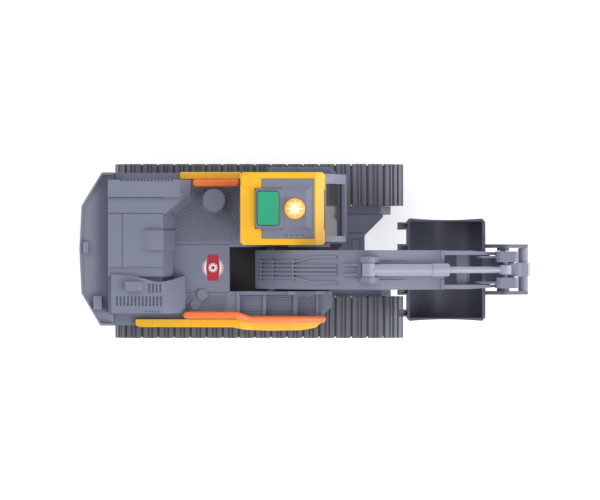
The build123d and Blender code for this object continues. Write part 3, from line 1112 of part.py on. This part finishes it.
boom_back = along(H, G)
with BuildPart() as boom_rod:
    disc_y([H], 3.4, YB + 4.8, YB - 4.8)
    tube_along(boom_back, 2.25, 2.0, 46.0)
    disc_y([H], 1.5 + RUN, YB + 6, YB - 6, Mode.SUBTRACT)
save(boom_rod, "boom_cylinder_rod")
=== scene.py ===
import json
import math
import bpy
import bmesh
from mathutils import Vector, Matrix


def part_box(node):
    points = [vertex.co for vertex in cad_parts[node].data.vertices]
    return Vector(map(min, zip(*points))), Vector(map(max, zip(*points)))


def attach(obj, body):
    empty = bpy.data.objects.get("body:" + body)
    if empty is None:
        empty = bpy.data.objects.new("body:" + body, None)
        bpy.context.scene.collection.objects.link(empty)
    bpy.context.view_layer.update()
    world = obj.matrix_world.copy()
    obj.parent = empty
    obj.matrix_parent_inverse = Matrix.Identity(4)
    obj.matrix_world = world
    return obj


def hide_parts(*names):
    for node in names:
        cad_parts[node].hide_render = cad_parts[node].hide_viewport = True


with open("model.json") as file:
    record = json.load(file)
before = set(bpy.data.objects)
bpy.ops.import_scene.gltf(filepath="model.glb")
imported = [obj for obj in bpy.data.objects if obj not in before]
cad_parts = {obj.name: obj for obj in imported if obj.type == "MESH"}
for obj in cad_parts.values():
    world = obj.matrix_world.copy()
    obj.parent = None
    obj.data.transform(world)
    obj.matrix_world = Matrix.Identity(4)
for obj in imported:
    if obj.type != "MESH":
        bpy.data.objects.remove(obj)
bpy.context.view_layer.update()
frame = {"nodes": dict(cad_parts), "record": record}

NODES = frame["nodes"]
MM = 0.001


# ---------------------------------------------------------------------------
# material kit
# ---------------------------------------------------------------------------
class Mat:
    """Small helper round a node tree. Everything is procedural, in object space."""

    def __init__(self, name):
        self.m = bpy.data.materials.new(name)
        self.m.use_nodes = True
        self.nt = self.m.node_tree
        self.nt.nodes.clear()
        self.out = self.nt.nodes.new("ShaderNodeOutputMaterial")
        self.bsdf = self.nt.nodes.new("ShaderNodeBsdfPrincipled")
        self.nt.links.new(self.bsdf.outputs[0], self.out.inputs[0])
        self.coord = self.nt.nodes.new("ShaderNodeTexCoord")

    def link(self, a, b):
        self.nt.links.new(a, b)

    def mapping(self, scale=(1, 1, 1), rot=(0, 0, 0), loc=(0, 0, 0)):
        n = self.nt.nodes.new("ShaderNodeMapping")
        n.inputs["Scale"].default_value = scale
        n.inputs["Rotation"].default_value = rot
        n.inputs["Location"].default_value = loc
        self.link(self.coord.outputs["Object"], n.inputs[0])
        return n.outputs[0]

    def noise(self, scale, detail=3.0, rough=0.55, vec=None, dist=0.0):
        n = self.nt.nodes.new("ShaderNodeTexNoise")
        n.inputs["Scale"].default_value = scale
        n.inputs["Detail"].default_value = detail
        n.inputs["Roughness"].default_value = rough
        n.inputs["Distortion"].default_value = dist
        self.link(vec if vec is not None else self.coord.outputs["Object"], n.inputs["Vector"])
        return n.outputs["Fac"]

    def voronoi(self, scale, vec=None, feature="F1", randomness=1.0):
        n = self.nt.nodes.new("ShaderNodeTexVoronoi")
        n.feature = feature
        n.inputs["Scale"].default_value = scale
        n.inputs["Randomness"].default_value = randomness
        self.link(vec if vec is not None else self.coord.outputs["Object"], n.inputs["Vector"])
        return n.outputs["Distance"]

    def ramp(self, fac, stops):
        n = self.nt.nodes.new("ShaderNodeValToRGB")
        cr = n.color_ramp
        while len(cr.elements) < len(stops):
            cr.elements.new(0.5)
        for e, (p, c) in zip(cr.elements, stops):
            e.position = p
            e.color = c if len(c) == 4 else (*c, 1)
        self.link(fac, n.inputs[0])
        return n.outputs[0]

    def math(self, op, a, b=None, clamp=False):
        n = self.nt.nodes.new("ShaderNodeMath")
        n.operation = op
        n.use_clamp = clamp
        for i, v in enumerate((a, b)):
            if v is None:
                continue
            if isinstance(v, (int, float)):
                n.inputs[i].default_value = v
            else:
                self.link(v, n.inputs[i])
        return n.outputs[0]

    def mix(self, fac, a, b, blend="MIX"):
        n = self.nt.nodes.new("ShaderNodeMix")
        n.data_type = "RGBA"
        n.blend_type = blend
        for i, v in ((0, fac), (6, a), (7, b)):
            if isinstance(v, (int, float)):
                n.inputs[i].default_value = v
            elif isinstance(v, tuple):
                n.inputs[i].default_value = v if len(v) == 4 else (*v, 1)
            else:
                self.link(v, n.inputs[i])
        return n.outputs[2]

    def maprange(self, v, a, b, c, d):
        n = self.nt.nodes.new("ShaderNodeMapRange")
        for i, x in zip((1, 2, 3, 4), (a, b, c, d)):
            n.inputs[i].default_value = x
        self.link(v, n.inputs[0])
        return n.outputs[0]

    def edge(self, radius):
        """0 on flat faces, up to 1 close to an edge: the bevelled normal against the true one."""
        bev = self.nt.nodes.new("ShaderNodeBevel")
        bev.samples = 4
        bev.inputs["Radius"].default_value = radius
        geo = self.nt.nodes.new("ShaderNodeNewGeometry")
        dot = self.nt.nodes.new("ShaderNodeVectorMath")
        dot.operation = "DOT_PRODUCT"
        self.link(bev.outputs[0], dot.inputs[0])
        self.link(geo.outputs["Normal"], dot.inputs[1])
        return self.maprange(dot.outputs["Value"], 1.0, 0.75, 0.0, 1.0), bev.outputs[0]

    def bump(self, height, strength, distance, normal=None):
        n = self.nt.nodes.new("ShaderNodeBump")
        n.inputs["Strength"].default_value = strength
        n.inputs["Distance"].default_value = distance
        self.link(height, n.inputs["Height"])
        if normal is not None:
            self.link(normal, n.inputs["Normal"])
        return n.outputs[0]

    def set(self, **kw):
        for k, v in kw.items():
            s = self.bsdf.inputs[k.replace("_", " ")]
            if isinstance(v, (int, float)):
                s.default_value = v
            elif isinstance(v, tuple):
                s.default_value = v if len(v) == 4 else (*v, 1)
            else:
                self.link(v, s)
        return self


def lin(*rgb):
    return tuple((c / 255 / 12.92) if c / 255 <= 0.04045 else ((c / 255 + 0.055) / 1.055) ** 2.4 for c in rgb)


def moulded(name, base, rough=0.42, grain=0.55, edge_wear_and_highlight=0.35, dark=0.82, light=1.18, flow=0.05, spec=0.5, bevel=0.00035, coat=0.0):
    """Injection-moulded plastic: fine spark-eroded grain, faint flow marks, slightly polished and paler edges."""
    k = Mat(name)
    cloud = k.noise(26, 3, 0.6)
    flow_v = k.noise(60, 2, 0.5, k.mapping(scale=(0.35, 1.0, 1.0)), 1.2)
    d = tuple(c * dark for c in base)
    # paler edge colour: part edge wear, part painted highlight
    edge_highlight_col = tuple(min(1, c * light) for c in base)
    col = k.ramp(cloud, [(0.3, tuple(c * (1 - flow) for c in base)), (0.7, tuple(min(1, c * (1 + flow)) for c in base))])
    edge, nrm = k.edge(bevel)
    # paler edges broken up by noise: part edge wear, part painted highlight where light catches the edges
    edge_wear_highlight_mask = k.math("MULTIPLY", edge, k.maprange(k.noise(420, 2), 0.35, 0.65, 0.4, 1.0))
    col = k.mix(k.math("MULTIPLY", edge_wear_highlight_mask, edge_wear_and_highlight), col, edge_highlight_col)
    speck = k.noise(2600, 1)
    col = k.mix(k.maprange(speck, 0.62, 0.8, 0.0, 0.25), col, d)
    grain_h = k.noise(5200, 2, 0.6)
    rough_v = k.math("ADD", k.maprange(flow_v, 0.3, 0.7, rough - 0.05, rough + 0.06), k.math("MULTIPLY", edge, -0.10))
    k.set(Base_Color=col, Roughness=rough_v, Specular_IOR_Level=spec, IOR=1.5)
    if coat:
        k.set(Coat_Weight=coat, Coat_Roughness=0.18)
    k.set(Normal=k.bump(grain_h, grain * 0.35, 0.00006, k.bump(cloud, 0.12, 0.0004, nrm)))
    return k.m


def metal(name, base, rough=0.3, axis="Y", aniso=0.4):
    k = Mat(name)
    sc = {"X": (0.05, 1, 1), "Y": (1, 0.05, 1), "Z": (1, 1, 0.05)}[axis]
    brush = k.noise(3800, 3, 0.6, k.mapping(scale=sc))
    stain = k.noise(90, 3)
    edge, nrm = k.edge(0.0002)
    col = k.mix(k.maprange(stain, 0.4, 0.8, 0.0, 0.35), base, tuple(c * 0.72 for c in base))
    col = k.mix(k.math("MULTIPLY", edge, 0.5), col, tuple(min(1, c * 1.3) for c in base))
    k.set(Base_Color=col, Metallic=1.0, Roughness=k.maprange(brush, 0.3, 0.7, rough - 0.08, rough + 0.12), Anisotropic=aniso)
    k.set(Normal=k.bump(brush, 0.25, 0.00003, nrm))
    return k.m


def clear(name, base, alpha_rough=0.06, ior=1.46, trans=0.9, tint_dark=0.8):
    k = Mat(name)
    swirl = k.noise(70, 2, 0.5)
    col = k.mix(swirl, base, tuple(c * tint_dark for c in base))
    scr = k.noise(900, 3, 0.65, k.mapping(scale=(1, 0.12, 1), rot=(0.2, 0.3, 0.7)))
    k.set(Base_Color=col, Roughness=k.maprange(scr, 0.45, 0.75, alpha_rough, alpha_rough + 0.10), Transmission_Weight=trans, IOR=ior)
    k.set(Normal=k.bump(scr, 0.04, 0.00004))
    return k.m


GREY = moulded("grey_plastic", (0.204, 0.221, 0.302))
GREY_CW = moulded("counterweight_plastic", (0.226, 0.243, 0.326), rough=0.46)
GREY_DARK = moulded("chassis_plastic", (0.186, 0.200, 0.268), rough=0.45)
# track grey: partly the darker track plastic, partly painted shade for the low, shaded front track; the light=2.2
# paler edges are painted highlight
TRACK_WITH_PAINTED_SHADE = moulded("track_plastic_with_painted_shade", (0.148, 0.156, 0.200), rough=0.38, edge_wear_and_highlight=0.85, light=2.2)
# bucket grey darkened as painted shade for the bucket's hollow; the light=2.2 paler edges are painted highlight on the
# lit rims
BUCKET_WITH_PAINTED_SHADE = moulded("bucket_plastic_with_painted_shade", (0.100, 0.107, 0.146), rough=0.36, edge_wear_and_highlight=0.75, light=2.2)
# near-black pit floor: painted shade for the deep pit under the house
PIT_PAINTED_SHADE = moulded("pit_floor_painted_shade", (0.050, 0.050, 0.056), rough=0.5)
PIN = moulded("pin_plastic", (0.240, 0.255, 0.325), rough=0.36)
ROD = moulded("rod_plastic", (0.340, 0.358, 0.450), rough=0.26, grain=0.1, coat=0.3)
BARREL = moulded("barrel_plastic", (0.315, 0.333, 0.425), rough=0.34, grain=0.2)
YELLOW = moulded("yellow_plastic", lin(255, 192, 36), rough=0.30, grain=0.15, edge_wear_and_highlight=0.25, dark=0.9, light=1.12, flow=0.03, coat=0.25)
ORANGE = moulded("orange_plastic", lin(252, 126, 58), rough=0.30, grain=0.15, edge_wear_and_highlight=0.3, dark=0.9, light=1.15, flow=0.03, coat=0.2)
GREEN = moulded("green_plastic", lin(44, 166, 124), rough=0.34, grain=0.3, edge_wear_and_highlight=0.3, dark=0.9, light=1.15, flow=0.03)
BLACK = moulded("black_plastic", (0.022, 0.022, 0.026), rough=0.45)
SEAT = moulded("seat_plastic", (0.035, 0.036, 0.042), rough=0.55, grain=1.0)
STEEL = metal("zinc_steel", (0.62, 0.62, 0.63), 0.3, "Y")
NICKEL = metal("nickel_spring", (0.70, 0.66, 0.58), 0.25, "Z")
CELL = metal("cell_can", (0.70, 0.70, 0.70), 0.22, "X")
SMOKED = clear("smoked_glass", (0.070, 0.064, 0.072), 0.06, 1.46, 0.35)
AMBER = clear("amber_lens", (1.0, 0.66, 0.20), 0.05, 1.40, 0.55, 0.92)
AMBER.node_tree.nodes["Principled BSDF"].inputs["Emission Color"].default_value = (1.0, 0.60, 0.16, 1)
AMBER.node_tree.nodes["Principled BSDF"].inputs["Emission Strength"].default_value = 0.22
RIB = moulded("lens_rib", (1.0, 0.90, 0.66), rough=0.22, grain=0.05, edge_wear_and_highlight=0.0, dark=0.95, light=1.0, flow=0.02, bevel=0.00005, coat=0.3)
RIB.node_tree.nodes["Principled BSDF"].inputs["Emission Color"].default_value = (1.0, 0.90, 0.66, 1)
RIB.node_tree.nodes["Principled BSDF"].inputs["Emission Strength"].default_value = 0.35

LED = Mat("led_glow")
LED.set(Base_Color=(1.0, 0.86, 0.55), Roughness=0.2, Emission_Color=(1.0, 0.93, 0.74), Emission_Strength=12.0)
led_h = LED.noise(500, 2)
LED.set(Normal=LED.bump(led_h, 0.1, 0.00005))
LED = LED.m

PCB = Mat("circuit_board")
pcb_lines = PCB.voronoi(420, None, "DISTANCE_TO_EDGE", 0.6)
pcb_col = PCB.ramp(pcb_lines, [(0.04, (0.03, 0.22, 0.07)), (0.09, (0.01, 0.10, 0.03))])
PCB.set(Base_Color=pcb_col, Roughness=0.35)
PCB.set(Normal=PCB.bump(pcb_lines, 0.2, 0.0001))
PCB = PCB.m

BY_SLOT = {
    # track_grey and bucket_grey carry painted shade in their darkened bases and painted highlight on their paler edges
    "grey": GREY, "grey_dark": GREY_DARK, "track_grey": TRACK_WITH_PAINTED_SHADE, "bucket_grey": BUCKET_WITH_PAINTED_SHADE, "pin_grey": PIN, "rod_grey": ROD,
    "yellow": YELLOW, "orange": ORANGE, "green": GREEN, "amber": AMBER, "smoked": SMOKED, "led_clear": LED, "label": ORANGE,
    "black": BLACK, "steel": STEEL, "nickel": NICKEL, "cell_steel": CELL, "pcb": PCB,
}
BY_NODE = {
    # house_floor gets the near-black pit colour: painted shade
    "counterweight": GREY_CW, "house_floor": PIT_PAINTED_SHADE, "cab_seat": SEAT, "stick_cylinder_barrel": BARREL, "stick_cylinder_gland": BARREL,
    "bucket_cylinder_barrel": BARREL, "boom_cylinder_barrel": BARREL,
}
SLOT_OF = {s["node"]: s["material_slot"] for s in frame["record"]["subparts"]}
BODY_OF = {n: b for b, ns in frame["record"]["behaviour"]["bodies"].items() for n in ns}


def dress(obj, mat):
    obj.data.materials.clear()
    obj.data.materials.append(mat)
    for p in obj.data.polygons:
        p.material_index = 0


for name, obj in NODES.items():
    dress(obj, BY_NODE.get(name, BY_SLOT[SLOT_OF[name]]))


# ---------------------------------------------------------------------------
# mesh helpers
# ---------------------------------------------------------------------------
def new_obj(name, bm, mat, body, smooth=None):
    bmesh.ops.recalc_face_normals(bm, faces=bm.faces)
    me = bpy.data.meshes.new(name)
    bm.to_mesh(me)
    bm.free()
    ob = bpy.data.objects.new(name, me)
    bpy.context.scene.collection.objects.link(ob)
    me.materials.append(mat)
    if smooth is not None:
        for p in me.polygons:
            p.use_smooth = True
        try:
            me.set_sharp_from_angle(angle=math.radians(smooth))
        except Exception:
            pass
    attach(ob, body)
    return ob


def stud(bm, cx, cy, z0, hx, hy, tx, ty, h):
    """Closed little frustum on a diamond base."""
    lo = [bm.verts.new((cx + dx * hx, cy + dy * hy, z0)) for dx, dy in ((1, 0), (0, 1), (-1, 0), (0, -1))]
    hi = [bm.verts.new((cx + dx * tx, cy + dy * ty, z0 + h)) for dx, dy in ((1, 0), (0, 1), (-1, 0), (0, -1))]
    bm.faces.new(lo[::-1])
    bm.faces.new(hi)
    for i in range(4):
        bm.faces.new((lo[i], lo[(i + 1) % 4], hi[(i + 1) % 4], hi[i]))


def tread(name, x0, x1, y0, y1, z, keep, pitch=2.25):
    bm = bmesh.new()
    r = pitch * 0.40
    j = 0
    y = y0 + r
    while y <= y1 - r + 1e-9:
        x = x0 + r + (pitch / 2 if j % 2 else 0)
        while x <= x1 - r + 1e-9:
            if keep(x, y):
                stud(bm, x * MM, y * MM, z - 0.03 * MM, r * MM, r * MM, r * 0.45 * MM, r * 0.45 * MM, 0.33 * MM)
            x += pitch
        y += pitch / 2
        j += 1
    return new_obj(name, bm, GREY, "house")


def prism(bm, ring, z0, z1, inset=0.0):
    """Closed plate on a plan outline, with an optional bevelled upper edge."""
    n = len(ring)
    cx, cy = sum(p[0] for p in ring) / n, sum(p[1] for p in ring) / n
    layers = [(ring, z0), (ring, z1 - inset if inset else z1)]
    if inset:
        top = []
        for x, y in ring:
            d = math.hypot(x - cx, y - cy) or 1
            top.append((x - (x - cx) / d * inset, y - (y - cy) / d * inset))
        layers.append((top, z1))
    rows = [[bm.verts.new((x, y, z)) for x, y in pts] for pts, z in layers]
    bm.faces.new(rows[0][::-1])
    bm.faces.new(rows[-1])
    for a, b in zip(rows, rows[1:]):
        for i in range(n):
            bm.faces.new((a[i], a[(i + 1) % n], b[(i + 1) % n], b[i]))


# ---------------------------------------------------------------------------
# deck: diamond tread, badge
# ---------------------------------------------------------------------------
DECK = 61.0 * MM


def on_left_deck(x, y):
    if math.hypot(x + 52.1, y - 28.8) < 8.3:
        return False
    if y > 30.0:
        return x > -63.9 and y < 36.4
    if y > 20.0:
        return x > -65.0 + (y - 30.6) * 1.04 + 1.4
    return x > -74.0


def on_right_deck(x, y):
    return math.hypot(x + 59.1, y + 24.8) > 4.1 and math.hypot(x + 63.3, y + 30.8) > 4.0


tread("deck_tread_left", -74.6, -37.4, 4.9, 37.0, DECK, on_left_deck)
tread("deck_tread_right", -67.6, -43.9, -34.6, -24.5, DECK, on_right_deck)
tread("step_tread", -4.2, 5.2, -36.2, -25.6, 49.0 * MM, lambda x, y: True, pitch=1.9)

BADGE_RED = moulded("badge_red", lin(186, 26, 52), rough=0.28, grain=0.05, edge_wear_and_highlight=0.0, dark=0.9, light=1.1, flow=0.02, bevel=0.0001, coat=0.5)
BADGE_WHITE = moulded("badge_white", lin(240, 238, 240), rough=0.30, grain=0.05, edge_wear_and_highlight=0.0, dark=0.94, light=1.03, flow=0.01, bevel=0.0001, coat=0.5)
b_lo, b_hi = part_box("deck_label")
bx, by, bz = (b_lo.x + b_hi.x) / 2, (b_lo.y + b_hi.y) / 2, b_lo.z


def circle(cx, cy, r, n=48, ph=0.0):
    return [(cx + r * math.cos(2 * math.pi * i / n + ph), cy + r * math.sin(2 * math.pi * i / n + ph)) for i in range(n)]


bm = bmesh.new()
prism(bm, circle(bx, by, 5.95 * MM, 64), bz, bz + 0.09 * MM, 0.02 * MM)
badge_white = new_obj("badge_disc", bm, BADGE_WHITE, "house")
bm = bmesh.new()
shield = [(bx + dx * MM, by + dy * MM) for dx, dy in ((-3.3, -5.4), (-2.6, -7.5), (2.6, -7.5), (3.3, -5.4), (3.9, 0.0), (3.3, 5.4), (2.6, 7.5),
                                                      (-2.6, 7.5), (-3.3, 5.4), (-3.9, 0.0))]
prism(bm, shield, bz + 0.02 * MM, bz + 0.14 * MM, 0.03 * MM)
badge_red = new_obj("badge_shield", bm, BADGE_RED, "house")
bm = bmesh.new()
teeth = []
for i in range(10):
    for da, rr in ((-0.20, 2.05), (-0.13, 2.75), (0.13, 2.75), (0.20, 2.05)):
        a = 2 * math.pi * i / 10 + da
        teeth.append((bx + rr * MM * math.cos(a), by + rr * MM * math.sin(a)))
n = len(teeth)
hole = [(bx + 1.0 * MM * math.cos(math.atan2(y - by, x - bx)), by + 1.0 * MM * math.sin(math.atan2(y - by, x - bx))) for x, y in teeth]
za, zb = bz + 0.12 * MM, bz + 0.19 * MM
rows = [[bm.verts.new((x, y, z)) for x, y in pts] for pts, z in ((teeth, za), (teeth, zb), (hole, zb), (hole, za))]
for a, b in zip(rows, rows[1:] + rows[:1]):
    for i in range(n):
        bm.faces.new((a[i], a[(i + 1) % n], b[(i + 1) % n], b[i]))
badge_gear = new_obj("badge_gear", bm, BADGE_WHITE, "house")
bm = bmesh.new()
prof = [(5.25, 0.07), (5.25, 0.115), (5.6, 0.115), (5.6, 0.07)]
rows = [[bm.verts.new((x, y, bz + h * MM)) for x, y in circle(bx, by, r * MM, 72)] for r, h in prof]
for a, b in zip(rows, rows[1:] + rows[:1]):
    for i in range(72):
        bm.faces.new((a[i], a[(i + 1) % 72], b[(i + 1) % 72], b[i]))
badge_ring = new_obj("badge_ring", bm, BADGE_RED, "house")
for piece in (badge_white, badge_ring, badge_red, badge_gear):
    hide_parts("deck_label")

# ---------------------------------------------------------------------------
# beacon: fluted dome over a star-shaped reflector ring
# ---------------------------------------------------------------------------
l_lo, l_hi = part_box("beacon_lens")
lx, ly, lz0, lz1 = (l_lo.x + l_hi.x) / 2, (l_lo.y + l_hi.y) / 2, l_lo.z, l_hi.z
prof_out = [(5.85, 0.0), (5.88, 0.35), (5.85, 1.6), (5.55, 2.1), (5.30, 2.4), (5.18, 3.4), (4.85, 4.7), (4.25, 5.8), (3.4, 6.65), (2.3, 7.2), (1.1, 7.45), (0.0, 7.52)]
prof_in = [(5.05, 0.0), (4.85, 1.2), (4.55, 2.4), (4.35, 3.4), (4.0, 4.5), (3.4, 5.4), (2.6, 6.0), (1.4, 6.35), (0.0, 6.45)]
SEG = 96
bm = bmesh.new()


def shell_rows(prof, flute, sign):
    rows = []
    for r, h in prof:
        if r == 0:
            rows.append([bm.verts.new((lx, ly, lz0 + h * MM))])
            continue
        up = max(0.0, min(1.0, (h - 2.0) / 1.2)) * max(0.0, min(1.0, r / 3.0))
        ring = []
        for i in range(SEG):
            a = 2 * math.pi * i / SEG
            rr = r - flute * up * (0.5 - 0.5 * math.cos(16 * a)) * sign
            ring.append(bm.verts.new((lx + rr * MM * math.cos(a), ly + rr * MM * math.sin(a), lz0 + h * MM)))
        rows.append(ring)
    return rows


def skin_rows(rows, flip):
    for a, b in zip(rows, rows[1:]):
        for i in range(len(a)):
            k = (i + 1) % len(a)
            quad = (a[i], a[k], b[0]) if len(b) == 1 else (a[i], a[k], b[k], b[i])
            bm.faces.new(quad[::-1] if flip else quad)


outer, inner = shell_rows(prof_out, 0.42, 1), shell_rows(prof_in, 0.15, -1)
skin_rows(outer, False)
skin_rows(inner, True)
for i in range(SEG):
    k = (i + 1) % SEG
    bm.faces.new((outer[0][k], outer[0][i], inner[0][i], inner[0][k]))
lens = new_obj("beacon_dome", bm, AMBER, "house", smooth=28)
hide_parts("beacon_lens")
bm = bmesh.new()
for k in range(8):
    a = 2 * math.pi * k / 8
    ca, sa = math.cos(a), math.sin(a)
    rows = []
    for (r, h), w in zip(((4.85, 4.7), (4.25, 5.8), (3.4, 6.65), (2.3, 7.2), (1.1, 7.45)), (0.10, 0.16, 0.24, 0.32, 0.42)):
        rows.append([bm.verts.new((lx + (r * ca - t * w * sa) * MM, ly + (r * sa + t * w * ca) * MM, lz0 + (h + e) * MM))
                     for t, e in ((-1, -0.25), (1, -0.25), (1, 0.05), (-1, 0.05))])
    for p, q in zip(rows, rows[1:]):
        for i in range(4):
            bm.faces.new((p[i], p[(i + 1) % 4], q[(i + 1) % 4], q[i]))
    bm.faces.new(rows[0][::-1])
    bm.faces.new(rows[-1])
rays = new_obj("beacon_rays", bm, RIB, "house")
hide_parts("beacon_lens")

# ---------------------------------------------------------------------------
# stage, camera, light
# ---------------------------------------------------------------------------
fm = Mat("floor")
fm_n = fm.noise(3, 2)
fm.set(Base_Color=fm.ramp(fm_n, [(0.3, (0.93, 0.93, 0.94)), (0.7, (0.96, 0.96, 0.97))]), Roughness=0.9, Emission_Color=(1.0, 1.0, 1.0), Emission_Strength=0.45)
bm = bmesh.new()
bmesh.ops.create_grid(bm, x_segments=2, y_segments=2, size=3.0)
me = bpy.data.meshes.new("floor")
bm.to_mesh(me); bm.free()
floor = bpy.data.objects.new("floor", me)
bpy.context.scene.collection.objects.link(floor)
me.materials.append(fm.m)

cam_data = bpy.data.cameras.new("camera")
cam = bpy.data.objects.new("camera", cam_data)
bpy.context.scene.collection.objects.link(cam)
cam_data.sensor_width = 36.0
cam_data.lens = 300.0
VIEW_W = 600 * 0.573 * MM
cam.location = (-3.3 * MM, 0.6 * MM, 0.050 + VIEW_W * 300.0 / 36.0)
cam.rotation_euler = (0, 0, 0)
cam_data.clip_start, cam_data.clip_end = 0.05, 30
bpy.context.scene.camera = cam


def area(name, loc, size, energy, target=(0, 0, 0.04), colour=(1, 1, 1)):
    d = bpy.data.lights.new(name, "AREA")
    d.shape = "RECTANGLE"
    d.size, d.size_y = size
    d.energy = energy
    d.color = colour
    o = bpy.data.objects.new(name, d)
    bpy.context.scene.collection.objects.link(o)
    o.location = loc
    o.rotation_euler = (Vector(target) - Vector(loc)).to_track_quat("-Z", "Y").to_euler()
    return o


area("key", (0.80, -0.60, 1.10), (1.0, 1.0), 10.5)
area("fill_back_left", (-0.80, 0.60, 0.95), (1.1, 1.1), 4.6)
area("fill_right", (1.15, 0.05, 0.42), (0.9, 0.5), 4.6)
area("low_left", (-1.0, -0.6, 0.40), (0.9, 0.5), 1.6)

world = bpy.data.worlds.new("world")
bpy.context.scene.world = world
world.use_nodes = True
bg = world.node_tree.nodes["Background"]
bg.inputs[0].default_value = (1.0, 1.0, 1.0, 1)
bg.inputs[1].default_value = 0.54
bpy.context.scene.view_settings.view_transform = "Standard"
bpy.context.scene.view_settings.look = "None"
bpy.context.scene.view_settings.exposure = 0.0
